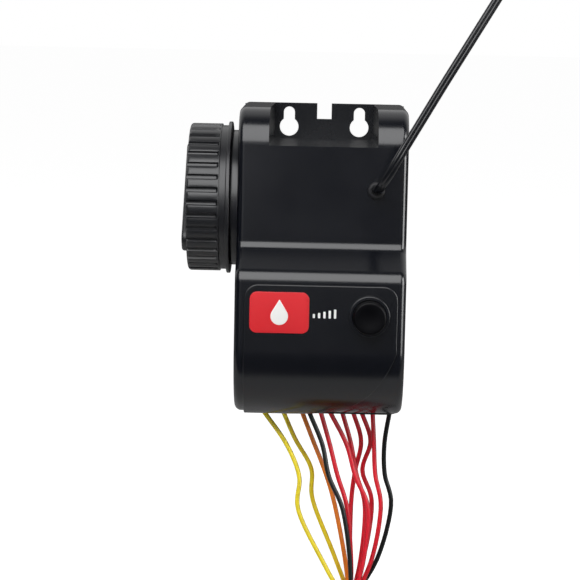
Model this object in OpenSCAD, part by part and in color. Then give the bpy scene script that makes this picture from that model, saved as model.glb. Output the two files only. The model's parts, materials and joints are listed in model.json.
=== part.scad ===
// Battery irrigation controller that hangs on a wall by two keyholes.
// X is to the right, the wall is the plane y = 0, the front faces -Y, Z is up.
// The origin is midway between the two keyhole entry holes, on the wall plane.

/* [Housing] */
// Width of the moulded housing
body_w = 78; // [72:1:100]
// Height of the top face above the keyhole entry holes
top_rise = 11.5; // [10:0.5:16]
// Depth of the upper front, measured from the wall
upper_depth = 70; // [69:0.5:78]
// Depth of the lower front, measured from the wall
lower_depth = 84; // [80:0.5:104]
// Drop from the keyholes to the crease where the slope starts
crease_drop = 51.5; // [48:0.5:56]
// Drop from the keyholes to the edge where the slope ends
slope_drop = 63; // [60:0.5:72]
// Drop from the keyholes to the underside
bottom_drop = 131; // [128:1:160]
// Wall thickness of the housing
wall = 2.4; // [2:0.1:2.6]
// Radius of the front top shoulder
shoulder_r = 17; // [8:1:22]
// Radius of the front bottom edge
bottom_r = 33; // [20:1:36]

/* [Back plate and hanging] */
// Thickness of the back plate
plate_t = 3; // [3:0.1:4]
// Distance between the two keyholes
keyhole_pitch = 34; // [28:0.5:36]
// Diameter of the keyhole entry hole
entry_d = 9.1; // [8:0.1:10]
// Width of the keyhole slot
slot_w = 5.4; // [4:0.1:6]
// Height of the slot's round end above the entry hole's centre
slot_rise = 7; // [6:0.5:8]
// Width of the recess that gives room for the wall screws
recess_w = 50; // [46:1:54]
// Drop from the keyholes to the recess floor
recess_drop = 5.5; // [5:0.1:6]
// Width of the notch at the top of the back plate
notch_w = 7; // [5:0.5:12]
// Depth of the notch at the top of the back plate
notch_depth = 7.6; // [4:0.2:9]

/* [Battery compartment] */
// Depth of the compartment's axis, measured from the wall
bay_depth = 37; // [36.5:0.1:38]
// Drop from the underside of the recess's floor to the compartment's axis
bay_drop = 24.3; // [24.3:0.1:26]
// Outer radius of the plain collar against the housing
collar_r = 31.8; // [31.4:0.1:33]
// Width of the plain collar
collar_w = 3.6; // [3:0.1:6]
// Outer radius of the threaded neck at the thread's root
neck_r = 29.5; // [29.4:0.05:29.6]
// Length of the neck beyond the collar
neck_len = 13.4; // [13.2:0.1:18]
// Radius of the wide mouth inside the neck
mouth_r = 27.5; // [25:0.1:27.6]
// Height of the neck's thread above its root
thread_h = 1.2; // [0.8:0.1:1.2]
// Radius of the inner tube's bore
tube_r = 22.6; // [22.6:0.1:22.8]
// Wall of the inner tube
tube_wall = 1.4; // [1.2:0.1:1.4]
// Radius of the cap over its ribs
cap_r = 34.7; // [34.2:0.1:35.2]
// Radius of the cap's thin flange
flange_r = 35.7; // [35.4:0.1:36]
// Length of the ribbed grip
grip_len = 15; // [14:0.5:20]
// Number of ribs round the grip
rib_count = 36; // [24:1:48]
// Width of the groove between two ribs
groove_w = 2.1; // [1.6:0.1:2.6]
// Depth of the groove between two ribs
groove_depth = 1.2; // [0.6:0.1:1.4]
// Rise of the grip bar on the cap's end
bar_rise = 2.6; // [2:0.1:4]

/* [Batteries] */
// Length of a 9 V battery's case
cell_len = 46; // [45:0.5:46.5]
// Width of a 9 V battery
cell_w = 26.5; // [25.5:0.1:26.5]
// Thickness of a 9 V battery
cell_t = 17.5; // [16.5:0.1:17.5]

/* [Front face] */
// Thickness by which the label panel stands out
panel_t = 1.2; // [0.8:0.1:2]
// Left edge of the label panel
panel_left = -34.6; // [-36:0.1:-30]
// Right edge of the label panel
panel_right = 35.3; // [30:0.1:36]
// Corner radius of the label panel
panel_r = 6.5; // [3:0.5:10]
// Gap between the slope's edge and the panel's top
panel_gap = 4.4; // [3:0.1:8]
// Width of the badge
badge_w = 27.1; // [20:0.1:30]
// Height of the badge
badge_h = 18.8; // [12:0.1:19]
// Corner radius of the badge
badge_r = 2.6; // [1:0.1:5]
// Diameter of the push button
button_d = 15; // [12:0.1:16]
// How far the button stands out of the panel
button_out = 7.8; // [5:0.1:10]
// Travel of the button
button_travel = 2; // [1:0.1:2]

/* [Electronics] */
// Thickness of the circuit board
board_t = 1.6; // [1:0.1:2]
// Depth of the board's front face, measured from the wall
board_depth = 63.6; // [63:0.1:64]

/* [Leads] */
// Outer diameter of one lead
lead_d = 2.2; // [1.8:0.1:2.3]
// Outer diameter of the antenna lead
antenna_d = 4.2; // [3.6:0.1:4.6]

/* [Hidden] */

$fn = 64;
// Clearance between pieces that are fixed together
fixed_gap = 0.1;
// Clearance between pieces that move past each other
moving_gap = 0.3;
// Radial clearance of a running fit
running_gap = 0.06;
// How far a cutting shape reaches past the surface it cuts
over = 1;
half_w = body_w / 2;
top_z = top_rise;
recess_z = -recess_drop;
bottom_z = -bottom_drop;
bay_z = recess_z - wall - bay_drop;
// Height of the centre of the front bottom round
round_z = bottom_z + bottom_r;
// Depth of the centre of the front bottom round
round_depth = lower_depth - bottom_r;

// X places along the battery compartment, from the housing's left face outwards
collar_x = -half_w - collar_w;
mouth_x = collar_x - neck_len;
// Clearance between the cap's flange and the collar
flange_gap = 0.2;
flange_x = collar_x - flange_gap;
flange_t = 1.7;
band_w = 3;
grip_x = flange_x - flange_t - band_w;
cap_end_x = grip_x - grip_len;
// Radial gap between the neck's thread and the cap's bore
thread_gap = 0.5;
cap_bore_r = neck_r + thread_h + thread_gap;
band_r = cap_r - 0.8;
cap_edge_r = 3;
// Length of the solid ring that closes the grooves at the flange
groove_end = 0.6;
cap_seal_t = 1.6;
// The cap's inner end wall
cap_floor_x = mouth_x - cap_seal_t - 2 * moving_gap;
bar_w = 12;
bar_len = 58;
bar_angle = 40;
// O-ring in the neck
neck_ring_r = 1;
neck_ring_x = collar_x - 2.4;
// Step where the wide mouth meets the inner tube
step_x = -half_w + 5;
step_t = 1.8;
// The batteries sit in the carrier from this X place on
cell_x = step_x + 4;
cell_gap = 0.2;
terminal_h = 2.6;
terminal_r = 3.2;
terminal_pitch = 12.7;
snap_x = cell_x + cell_len + terminal_h + cell_gap;
snap_t = 2;
end_disc_t = 2;
end_disc_x = snap_x + snap_t + cell_gap;
carrier_end_x = end_disc_x + end_disc_t;
carrier_r = tube_r - 0.4;
pin_len = 2.6;
contact_board_x = carrier_end_x + moving_gap + pin_len;
contact_board_t = 1.2;
tube_end_x = contact_board_x + contact_board_t + fixed_gap;
tube_floor_t = 1.6;

// Screws of the back plate
back_screw_x = half_w - 5.5;
back_screw_top_z = top_z - 7;
back_screw_low_z = bottom_z + 8.5;
back_boss_r = 3.2;
back_boss_len = 17;
back_screw_r = 1.2;
back_screw_len = 12;
screw_head_r = 3;
screw_head_t = 1.5;
// Cord seal between the plate and the housing's rear edge
seal_inset = 0.6;
seal_w = 1.2;
seal_depth = 1.2;

// Label panel and what it carries
panel_top_z = -slope_drop - panel_gap;
panel_face = lower_depth + panel_t;
panel_seat_gap = 0.1;
// The lower right edge is an arc laid out on the developed front: its centre and radius
panel_arc_x = -32.6;
panel_arc_s = -23.2;
panel_arc_r = norm([panel_right - panel_arc_x, panel_arc_s]);
panel_cols = 24;
panel_row_len = 4.45;
panel_rows = ceil((panel_arc_s + panel_arc_r + panel_top_z - round_z) / panel_row_len);
badge_x = -18.4;
badge_z = panel_top_z - 12.7;
badge_t = 0.6;
symbol_t = 0.3;
marks_x = 2.1;
mark_w = 1.1;
mark_pitch = 2.4;
mark_h = 1.9;
mark_step = 0.55;
mark_count = 5;

// Push button
button_x = 22.5;
button_z = panel_top_z - 13.6;
button_r = button_d / 2;
bezel_bore_r = button_r + running_gap;
bezel_tube_r = bezel_bore_r + 0.9;
bezel_flange_r = bezel_tube_r + 0.9;
bezel_flange_t = 2;
bezel_floor_depth = panel_face - 9.2;
bezel_floor_t = 1.5;
stem_r = 3;
button_face = panel_face + button_out;
button_base = bezel_floor_depth + bezel_floor_t + 3.6;
stem_end = bezel_floor_depth - 2.5;
clip_r = 5.4;
clip_t = 1;
nut_t = 2.6;
nut_r = bezel_tube_r + 2.54;
seal_ring_r = 0.8;
spring_r = 5;
spring_wire = 0.5;
edge_r = 1.6;

// Circuit board
board_half_w = 35;
board_top_z = -slope_drop - 4;
board_low_z = bottom_z + 10;
board_boss_r = 2.4;
board_boss_x = board_half_w - 2.5;
board_boss_top_z = board_top_z - 3.2;
board_boss_low_z = board_low_z + 5;
board_hole_r = 1.1;
board_screw_head_r = 2;

// Slot in the underside for the leads
slot_x0 = -23.8;
slot_x1 = 30.2;
slot_y = -46;
slot_r = 6;
grommet_lip = 1;

// Antenna gland
antenna_x = 24.5;
antenna_z = -25;
gland_r = 4;
gland_body_r = 3.2;
gland_out = 1.5;
gland_nut_r = 5.6;
gland_nut_t = 2.4;
gland_in = 7;
tip_len = 14;
tip_r = antenna_d / 2 + 0.7;

// Hank that the leads are folded into
hank_x = 6;
hank_y = -45;
hank_top_z = -230;
hank_run = 38;
hank_fold_r = 12.7;
hank_depth = 27.4;
tie_h = 6;
tie_t = 1.2;

// Routes of the leads, from the grommet down to the hank
yellow_1_route = [[-25.5, -50, -132], [-14.5, -52, -147], [-8, -55, -162],
  [-8, -57.5, -178], [5, -57.5, -204], [17.5, -57.5, -226]];
yellow_2_route = [[-17, -42, -132], [-10.5, -39, -147], [-2.5, -35.5, -162],
  [-1.5, -32.5, -178], [9, -32.5, -204], [17.5, -32.5, -226]];
orange_route = [[-8, -42, -132], [-2, -41.5, -147], [4, -40.5, -162],
  [9, -40, -178], [14.5, -40, -204], [17.5, -40, -226]];
black_1_route = [[-4, -50, -132], [2.5, -51.5, -147], [6, -53.5, -162],
  [13, -55, -178], [17, -55, -204], [17.5, -55, -226]];
red_1_route = [[1.5, -50, -132], [6, -50, -147], [10, -50, -162],
  [15, -50, -178], [17.5, -50, -204], [17.5, -50, -226]];
red_2_route = [[6, -50, -132], [14, -50.5, -147], [18.5, -51.5, -162],
  [25, -52.5, -178], [23, -52.5, -204], [17.5, -52.5, -226]];
red_3_route = [[11.5, -46, -132], [16, -45.5, -147], [19, -45, -162],
  [23.5, -45, -178], [22, -45, -204], [17.5, -45, -226]];
red_4_route = [[16.5, -42, -132], [21, -40.5, -147], [18.5, -39, -162],
  [17, -37.5, -178], [17, -37.5, -204], [17.5, -37.5, -226]];
red_5_route = [[20.5, -42, -132], [25.5, -40, -147], [22, -37, -162],
  [27, -35, -178], [24, -35, -204], [17.5, -35, -226]];
red_6_route = [[26, -46, -132], [27, -46.5, -147], [28, -47, -162],
  [31, -47.5, -178], [27, -47.5, -204], [17.5, -47.5, -226]];
black_2_route = [[34, -46, -132], [32, -45, -147], [32.5, -43.5, -162],
  [36, -42.5, -178], [30, -42.5, -204], [17.5, -42.5, -226]];
antenna_route = [[24.5, -71.5, -25], [25, -77, -24.5], [26.5, -82, -22], [29.5, -85.5, -17],
  [33, -87, -10.5], [37.5, -87, -2.5], [45, -87, 10.5], [52.5, -87, 23.5],
  [60.5, -87, 37], [68.5, -87, 50.5], [76.5, -87, 64]];

// ---- helpers ----

// Points of an arc about c, from angle a0 to a1
function arc(c, r, a0, a1, n = 12) =
  [for (i = [0 : n]) c + r * [cos(a0 + (a1 - a0) * i / n), sin(a0 + (a1 - a0) * i / n)]];

// Side profile of the housing in (depth, height), moved inwards by inset
function side_profile(inset) =
  let (
    slope = [lower_depth - upper_depth, crease_drop - slope_drop],
    normal = [-slope[1], slope[0]] / norm(slope),
    shift = inset * (1 - normal[0]) / normal[1]
  )
  concat(
    [[plate_t, top_z - inset]],
    arc([upper_depth - shoulder_r, top_z - shoulder_r], shoulder_r - inset, 90, 0),
    [[upper_depth - inset, -crease_drop - shift], [lower_depth - inset, -slope_drop - shift]],
    arc([round_depth, round_z], bottom_r - inset, 0, -90),
    [[plate_t, bottom_z + inset]]
  );

// Places a (depth, height) outline so that it runs along X between x0 and x1
module along_x(x0, x1) {
  multmatrix([[0, 0, 1, x0], [-1, 0, 0, 0], [0, 1, 0, 0]])
    linear_extrude(x1 - x0) children();
}

// Places an (x, z) outline so that it runs from depth d0 out to depth d1
module forward(d0, d1) {
  translate([0, -d0, 0]) rotate([90, 0, 0]) linear_extrude(d1 - d0) children();
}

// A round bar that points forward, from depth d0 to depth d1
module bar_forward(x, z, r, d0, d1) {
  translate([x, -d0, z]) rotate([90, 0, 0]) cylinder(r = r, h = d1 - d0);
}

// Turns a shape about the Z axis into one about the battery compartment's axis
module about_bay_axis() {
  translate([0, -bay_depth, bay_z]) rotate([0, 90, 0]) children();
}

// A tube along the compartment's axis between two X places
module bay_cylinder(r, x0, x1) {
  about_bay_axis() translate([0, 0, x0]) cylinder(r = r, h = x1 - x0, $fn = 96);
}

module rounded_rectangle(w, h, r) {
  square([w - 2 * r, h], center = true);
  square([w, h - 2 * r], center = true);
  for (sx = [-1, 1], sz = [-1, 1])
    translate([sx * (w / 2 - r), sz * (h / 2 - r)]) circle(r);
}

// Outline of the housing's rear edge, moved inwards by inset, without the recess
module rear_outline(inset) {
  difference() {
    translate([-half_w + inset, bottom_z + inset])
      square([body_w - 2 * inset, top_z - bottom_z - 2 * inset]);
    translate([-recess_w / 2 - inset, recess_z - inset])
      square([recess_w + 2 * inset, top_z - recess_z + inset + over]);
  }
}

module back_screw_places() {
  for (sx = [-1, 1], z = [back_screw_top_z, back_screw_low_z])
    translate([sx * back_screw_x, 0, z]) children();
}

module board_screw_places() {
  for (sx = [-1, 1], z = [board_boss_top_z, board_boss_low_z])
    translate([sx * board_boss_x, 0, z]) children();
}

// Slot with round ends in the underside
module lead_slot(grow, z0, z1) {
  for (x = [slot_x0, slot_x1])
    translate([x, slot_y, z0]) cylinder(r = slot_r + grow, h = z1 - z0);
  translate([slot_x0, slot_y - slot_r - grow, z0])
    cube([slot_x1 - slot_x0, 2 * (slot_r + grow), z1 - z0]);
}

// Unit direction of a route at point i
function heading(route, i) =
  let (a = route[max(i - 1, 0)], b = route[min(i + 1, len(route) - 1)]) (b - a) / norm(b - a);

// A tube swept along a route, as one closed polyhedron with n sides
module swept_tube(route, d, n = 8) {
  last = len(route) - 1;
  guide = [0.31, -0.9, 0.3];
  rings = [for (i = [0 : last])
    let (
      t = heading(route, i),
      u = cross(t, guide) / norm(cross(t, guide)),
      v = cross(t, u)
    )
    for (k = [0 : n - 1]) route[i] + d / 2 * (u * cos(360 * k / n) + v * sin(360 * k / n))];
  sides = [for (i = [0 : last - 1], k = [0 : n - 1])
    [i * n + k, i * n + (k + 1) % n, (i + 1) * n + (k + 1) % n, (i + 1) * n + k]];
  first_end = [[for (k = [n - 1 : -1 : 0]) k]];
  last_end = [[for (k = [0 : n - 1]) last * n + k]];
  polyhedron(rings, concat([for (f = sides) [f[3], f[2], f[1], f[0]]],
    [for (f = first_end) [for (k = [n - 1 : -1 : 0]) f[k]]],
    [for (f = last_end) [for (k = [n - 1 : -1 : 0]) f[k]]]));
}

// ---- casing ----

module housing() {
  color("#17181a") difference() {
    along_x(-half_w, half_w) polygon(side_profile(0));
    difference() {
      along_x(-half_w + wall, half_w - wall) difference() {
        polygon(side_profile(wall));
        translate([0, top_z]) square([plate_t, over]);
      }
      forward(0, upper_depth + over) translate([-recess_w / 2 - wall, recess_z - wall])
        square([recess_w + 2 * wall, top_z - recess_z + 2 * wall]);
      back_screw_places() bar_forward(0, 0, back_boss_r, 0, plate_t + back_boss_len);
      board_screw_places() bar_forward(0, 0, board_boss_r, board_depth, lower_depth);
    }
    forward(0, upper_depth + over) translate([-recess_w / 2, recess_z])
      square([recess_w, top_z - recess_z + over]);
    back_screw_places()
      bar_forward(0, 0, back_screw_r + fixed_gap / 2, 0, plate_t + back_screw_len);
    board_screw_places() bar_forward(0, 0, board_hole_r, board_depth - over, board_depth + 8);
    bay_cylinder(neck_r + 0.5 + fixed_gap, -half_w - over, -half_w + wall + over);
    bar_forward(button_x, button_z, bezel_tube_r + fixed_gap, lower_depth - 6, lower_depth + over);
    bar_forward(antenna_x, antenna_z, gland_body_r + fixed_gap, upper_depth - 5, upper_depth + over);
    lead_slot(fixed_gap, bottom_z - over, bottom_z + wall + over);
  }
}

module keyhole(x) {
  bar_forward(x, 0, entry_d / 2, -over, plate_t + over);
  bar_forward(x, slot_rise, slot_w / 2, -over, plate_t + over);
  translate([x - slot_w / 2, -plate_t - over, 0]) cube([slot_w, plate_t + 2 * over, slot_rise]);
}

module back_plate() {
  color("#1b1c1e") difference() {
    forward(0, plate_t) translate([-half_w, bottom_z]) square([body_w, top_z - bottom_z]);
    for (s = [-1, 1]) keyhole(s * keyhole_pitch / 2);
    translate([-notch_w / 2, -plate_t - over, top_z - notch_depth])
      cube([notch_w, plate_t + 2 * over, notch_depth + over]);
    back_screw_places() {
      bar_forward(0, 0, back_screw_r + 0.4, -over, plate_t + over);
      bar_forward(0, 0, screw_head_r + fixed_gap, -over, screw_head_t + 0.3);
    }
    forward(plate_t - seal_depth, plate_t + over) difference() {
      rear_outline(seal_inset - fixed_gap / 2);
      rear_outline(seal_inset + seal_w + fixed_gap / 2);
    }
  }
}

module back_screws() {
  color("#9fa1a4") back_screw_places() {
    difference() {
      bar_forward(0, 0, screw_head_r, 0.2, 0.2 + screw_head_t);
      for (a = [0, 90]) rotate([0, a, 0]) translate([-1.5, -1.1, -0.3]) cube([3, 1.2, 0.6]);
    }
    bar_forward(0, 0, back_screw_r, screw_head_t, plate_t + back_screw_len - 1);
  }
}

module back_seal() {
  color("#2d2d2f") forward(plate_t - seal_depth + fixed_gap / 2, plate_t) difference() {
    rear_outline(seal_inset);
    rear_outline(seal_inset + seal_w);
  }
}

// ---- battery compartment ----

module battery_chamber() {
  color("#202124") difference() {
    union() {
      bay_cylinder(collar_r, collar_x, -half_w);
      bay_cylinder(neck_r + 0.5, -half_w - over, step_x);
      bay_cylinder(neck_r, mouth_x, -half_w);
      for (i = [0 : 2]) bay_cylinder(neck_r + thread_h, mouth_x + 1.2 + 2.8 * i, mouth_x + 2.4 + 2.8 * i);
      bay_cylinder(tube_r + tube_wall, step_x - over, tube_end_x + tube_floor_t);
    }
    bay_cylinder(mouth_r, mouth_x - over, step_x - step_t);
    bay_cylinder(tube_r, step_x - 2 * step_t, tube_end_x);
    difference() {
      bay_cylinder(neck_r + 3, neck_ring_x - 1.2, neck_ring_x + 1.2);
      bay_cylinder(neck_r - 0.85, neck_ring_x - 2, neck_ring_x + 2);
    }
  }
}

module neck_seal() {
  color("#2a2a2c") about_bay_axis() translate([0, 0, neck_ring_x])
    rotate_extrude($fn = 96) translate([neck_r + 0.2, 0]) circle(neck_ring_r, $fn = 24);
}

module contact_board() {
  color("#1f5b3a") bay_cylinder(tube_r - 0.3, contact_board_x, contact_board_x + contact_board_t);
}

module contact_places() {
  for (sz = [-1, 1], sy = [-1, 1])
    translate([0, sy * terminal_pitch / 2, sz * cell_t / 2]) children();
}

module contact_pins() {
  color("#c8a24a") contact_places() {
    bay_cylinder(0.9, contact_board_x - pin_len, contact_board_x);
    bay_cylinder(1.5, contact_board_x - 1, contact_board_x);
  }
}

module battery_cap() {
  color("#1a1b1d") difference() {
    union() {
      bay_cylinder(flange_r, flange_x - flange_t, flange_x);
      bay_cylinder(band_r, grip_x - over, flange_x - flange_t / 2);
      bay_cylinder(cap_r, cap_end_x + cap_edge_r, grip_x);
      about_bay_axis() translate([0, 0, cap_end_x])
        cylinder(r1 = cap_r - cap_edge_r, r2 = cap_r, h = cap_edge_r, $fn = 96);
      intersection() {
        bay_cylinder(bar_len / 2, cap_end_x - bar_rise, cap_end_x + over);
        translate([0, -bay_depth, bay_z]) rotate([-bar_angle, 0, 0])
          translate([cap_end_x - bar_rise - over, -bar_w / 2, -cap_r])
            cube([bar_rise + 3 * over, bar_w, 2 * cap_r]);
      }
    }
    bay_cylinder(cap_bore_r, cap_floor_x, flange_x + over);
    for (i = [0 : rib_count - 1])
      translate([0, -bay_depth, bay_z]) rotate([i * 360 / rib_count, 0, 0])
        translate([cap_end_x - over, -groove_w / 2, cap_r - groove_depth])
          cube([grip_len - groove_end + over, groove_w, groove_depth + over]);
  }
}

module cap_seal() {
  color("#3a3a3c") difference() {
    bay_cylinder(neck_r - 0.1, cap_floor_x + moving_gap, mouth_x - moving_gap);
    bay_cylinder(mouth_r - 0.5, cap_floor_x, mouth_x);
  }
}

module battery_carrier() {
  rail_y = cell_w / 2 + cell_gap;
  pull_len = 13;
  color("#2b2d30") {
    intersection() {
      bay_cylinder(carrier_r, cell_x - 2.4, carrier_end_x);
      union() {
        translate([cell_x - 2.4, -bay_depth - carrier_r, bay_z - carrier_r])
          cube([2.2, 2 * carrier_r, 2 * carrier_r]);
        translate([end_disc_x, -bay_depth - carrier_r, bay_z - carrier_r])
          cube([end_disc_t, 2 * carrier_r, 2 * carrier_r]);
        for (s = [-1, 1])
          translate([cell_x - 1, -bay_depth + s * (rail_y + 10) - 10, bay_z - 9])
            cube([carrier_end_x - cell_x, 20, 18]);
      }
    }
    difference() {
      translate([cell_x - 2.4 - pull_len, -bay_depth - 10, bay_z - 1.5])
        cube([pull_len + 0.5, 20, 3]);
      translate([cell_x - 9, -bay_depth, bay_z - 4]) cylinder(r = 5, h = 8);
    }
  }
}

// One 9 V battery: s is +1 for the upper one and -1 for the lower one
module battery(s) {
  zc = bay_z + s * (cell_t / 2 + cell_gap / 4);
  translate([cell_x, -bay_depth - cell_w / 2, zc - cell_t / 2 + cell_gap / 4])
    cube([cell_len, cell_w, cell_t - cell_gap / 2]);
  for (sy = [-1, 1])
    translate([cell_x + cell_len, -bay_depth + sy * terminal_pitch / 2, zc])
      rotate([0, 90, 0]) cylinder(r = terminal_r, h = terminal_h, $fn = 24);
}

module battery_upper() {
  color("#3d4046") battery(1);
}

module battery_lower() {
  color("#3d4046") battery(-1);
}

module battery_snaps() {
  color("#c9cacc") contact_places() bay_cylinder(3.9, snap_x, snap_x + snap_t);
}

// ---- front face ----

// Top edge of the panel on the developed front, with its two round corners
function panel_top(x) =
  let (
    reach = max(panel_left + panel_r - x, x - (panel_right - panel_r), 0),
    top_s = panel_top_z - round_z
  )
  -top_s + panel_r - sqrt(max(panel_r * panel_r - reach * reach, 0));

// Lower edge of the panel on the developed front
function panel_low(x) =
  panel_arc_s + sqrt(max(panel_arc_r * panel_arc_r - pow(x - panel_arc_x, 2), 0));

// Point of the front at x and at the developed distance s below the round's start, h above it
function front_point(x, s, h) =
  s <= 0
    ? [x, -lower_depth - h, round_z - s]
    : let (a = s / bottom_r * 180 / PI)
      [x, -round_depth - (bottom_r + h) * cos(a), round_z - (bottom_r + h) * sin(a)];

// Columns crowd towards both ends, so that they follow the round corners
function panel_column(i) =
  (panel_left + panel_right) / 2 - (panel_right - panel_left) / 2 * cos(180 * i / panel_cols);

function panel_skin(h) = [for (i = [0 : panel_cols], j = [0 : panel_rows])
  let (x = panel_column(i), s0 = panel_top(x), s1 = max(panel_low(x), s0 + 1))
  front_point(x, s0 + (s1 - s0) * j / panel_rows, h)];

module panel_blank() {
  n = panel_rows + 1;
  size = (panel_cols + 1) * n;
  points = concat(panel_skin(panel_seat_gap), panel_skin(panel_t));
  rim = concat(
    [for (j = [0 : panel_rows - 1]) j],
    [for (i = [0 : panel_cols - 1]) i * n + panel_rows],
    [for (j = [panel_rows : -1 : 1]) panel_cols * n + j],
    [for (i = [panel_cols : -1 : 1]) i * n]);
  quads = [for (i = [0 : panel_cols - 1], j = [0 : panel_rows - 1])
    [i * n + j, i * n + j + 1, (i + 1) * n + j + 1, (i + 1) * n + j]];
  inner = [for (q = quads, t = [[0, 1, 2], [0, 2, 3]]) [q[t[0]], q[t[1]], q[t[2]]]];
  outer = [for (f = inner) [f[2] + size, f[1] + size, f[0] + size]];
  edge = [for (k = [0 : len(rim) - 1])
    let (a = rim[k], b = rim[(k + 1) % len(rim)])
    for (f = [[b, a, a + size], [b, a + size, b + size]]) f];
  polyhedron(points, concat(inner, outer, edge));
}

module face_panel() {
  color("#141517") difference() {
    panel_blank();
    bar_forward(button_x, button_z, bezel_tube_r + fixed_gap, lower_depth - 3, panel_face + 3);
  }
}

module badge() {
  color("#c4161c") forward(panel_face, panel_face + badge_t) translate([badge_x, badge_z])
    rounded_rectangle(badge_w, badge_h, badge_r);
}

// A plain water drop: a round bottom that runs up to a point
module badge_symbol() {
  drop_r = 4;
  drop_tip = 7.6;
  color("#f4f4f2") forward(panel_face + badge_t, panel_face + badge_t + symbol_t)
    translate([badge_x, badge_z - 1.6])
      polygon(concat(arc([0, 0], drop_r, 150, 390, 20), [[0, drop_tip]]));
}

// A row of small bars that grow, as on a level gauge
module panel_marks() {
  color("#e8e8e6") forward(panel_face, panel_face + symbol_t)
    for (i = [0 : mark_count - 1])
      translate([marks_x + (i - (mark_count - 1) / 2) * mark_pitch - mark_w / 2, badge_z - 2.2])
        square([mark_w, mark_h + i * mark_step]);
}

module button_cap() {
  color("#0f1011") {
    difference() {
      union() {
        bar_forward(button_x, button_z, button_r, button_base, button_face - edge_r);
        translate([button_x, -button_face + edge_r, button_z]) rotate([90, 0, 0])
          rotate_extrude() polygon(concat([[0, 0]], arc([button_r - edge_r, 0], edge_r, 0, 90, 6),
            [[0, edge_r]]));
      }
      bar_forward(button_x, button_z, button_r - 1.6, button_base + 1.4, button_face - 2);
    }
    bar_forward(button_x, button_z, stem_r, stem_end, button_base + 0.5);
  }
}

module button_bezel() {
  color("#17181a") difference() {
    union() {
      bar_forward(button_x, button_z, bezel_tube_r, bezel_floor_depth, panel_face + over);
      bar_forward(button_x, button_z, bezel_flange_r, panel_face, panel_face + bezel_flange_t);
    }
    bar_forward(button_x, button_z, bezel_bore_r, bezel_floor_depth + bezel_floor_t,
      panel_face + bezel_flange_t + over);
    bar_forward(button_x, button_z, stem_r + running_gap, bezel_floor_depth - over,
      panel_face);
  }
}

// Front face of the seal ring's seat is the inner face of the housing
seal_seat = lower_depth - wall;

module button_seal() {
  color("#2a2a2c") translate([button_x, -seal_seat + seal_ring_r + 0.02, button_z])
    rotate([90, 0, 0]) rotate_extrude()
      translate([bezel_tube_r + seal_ring_r + 0.05, 0]) circle(seal_ring_r, $fn = 24);
}

module button_nut() {
  nut_face = seal_seat - 2 * seal_ring_r - fixed_gap;
  color("#26272a") difference() {
    translate([button_x, -nut_face + nut_t, button_z]) rotate([90, 0, 0])
      cylinder(r = nut_r, h = nut_t, $fn = 6);
    bar_forward(button_x, button_z, bezel_tube_r + fixed_gap / 2, nut_face - nut_t - over,
      nut_face + over);
  }
}

// Compression spring round the stem, as a stack of plain turns
module button_spring() {
  room = button_base - bezel_floor_depth - bezel_floor_t;
  turns = 3;
  color("#b9bbbe") for (i = [0 : turns - 1])
    translate([button_x, -bezel_floor_depth - bezel_floor_t - spring_wire
      - (room - 2 * spring_wire) * i / (turns - 1), button_z])
      rotate([90, 0, 0]) rotate_extrude($fn = 32)
        translate([spring_r, 0]) circle(spring_wire - 0.02, $fn = 16);
}

module button_clip() {
  clip_front = bezel_floor_depth - moving_gap;
  color("#a9abae") difference() {
    bar_forward(button_x, button_z, clip_r, clip_front - clip_t, clip_front);
    bar_forward(button_x, button_z, stem_r + 0.02, clip_front - clip_t - over, clip_front + over);
  }
}

// ---- electronics ----

module on_board(x, z, w, h, t) {
  translate([x - w / 2, -board_depth - t, z - h / 2]) cube([w, t, h]);
}

module main_board() {
  color("#1d6b45") difference() {
    forward(board_depth - board_t, board_depth) translate([-board_half_w, board_low_z])
      square([2 * board_half_w, board_top_z - board_low_z]);
    board_screw_places() bar_forward(0, 0, 1.4, board_depth - 5, board_depth + 2);
  }
}

module board_screws() {
  color("#b4b6b9") board_screw_places() {
    bar_forward(0, 0, board_screw_head_r, board_depth - board_t - 1.2, board_depth - board_t);
    bar_forward(0, 0, board_hole_r - fixed_gap / 2, board_depth - board_t - 0.5, board_depth + 7);
  }
}

module tact_switch() {
  color("#2c2d30") {
    on_board(button_x, button_z, 6, 6, 3.6);
    bar_forward(button_x, button_z, 1.7, board_depth + 3, stem_end - button_travel - moving_gap);
  }
}

module radio_module() {
  color("#c2c4c6") on_board(-18, board_top_z - 14, 20, 16, 2.8);
}

module microcontroller() {
  color("#26282b") on_board(-2, board_top_z - 32, 12, 12, 1.4);
}

module capacitors() {
  color("#3b3f4a") for (x = [-28, -17])
    bar_forward(x, board_top_z - 33, 4, board_depth, board_depth + 9);
}

module driver_chips() {
  color("#2a2b2e") for (i = [0 : 5]) on_board(8 + (i % 3) * 8, board_top_z - 29 - 7 * floor(i / 3), 5, 4, 1.5);
}

module lead_header() {
  color("#d9d6cc") translate([-26, -board_depth + board_t, board_low_z + 0.5]) cube([52, 6, 7]);
}

// ---- leads ----

module lead_grommet() {
  color("#1c1c1e") {
    lead_slot(0, bottom_z - 0.01, bottom_z + wall);
    lead_slot(1, bottom_z - grommet_lip, bottom_z);
  }
}

module potting_block() {
  color("#101113") lead_slot(-0.4, bottom_z + wall, bottom_z + wall + 5);
}

module antenna_gland() {
  color("#1c1d1f") difference() {
    union() {
      bar_forward(antenna_x, antenna_z, gland_body_r, upper_depth - gland_in, upper_depth + 0.5);
      bar_forward(antenna_x, antenna_z, gland_r, upper_depth, upper_depth + gland_out);
    }
    bar_forward(antenna_x, antenna_z, antenna_d / 2, upper_depth + gland_out - 0.8,
      upper_depth + gland_out + over);
  }
}

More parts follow.
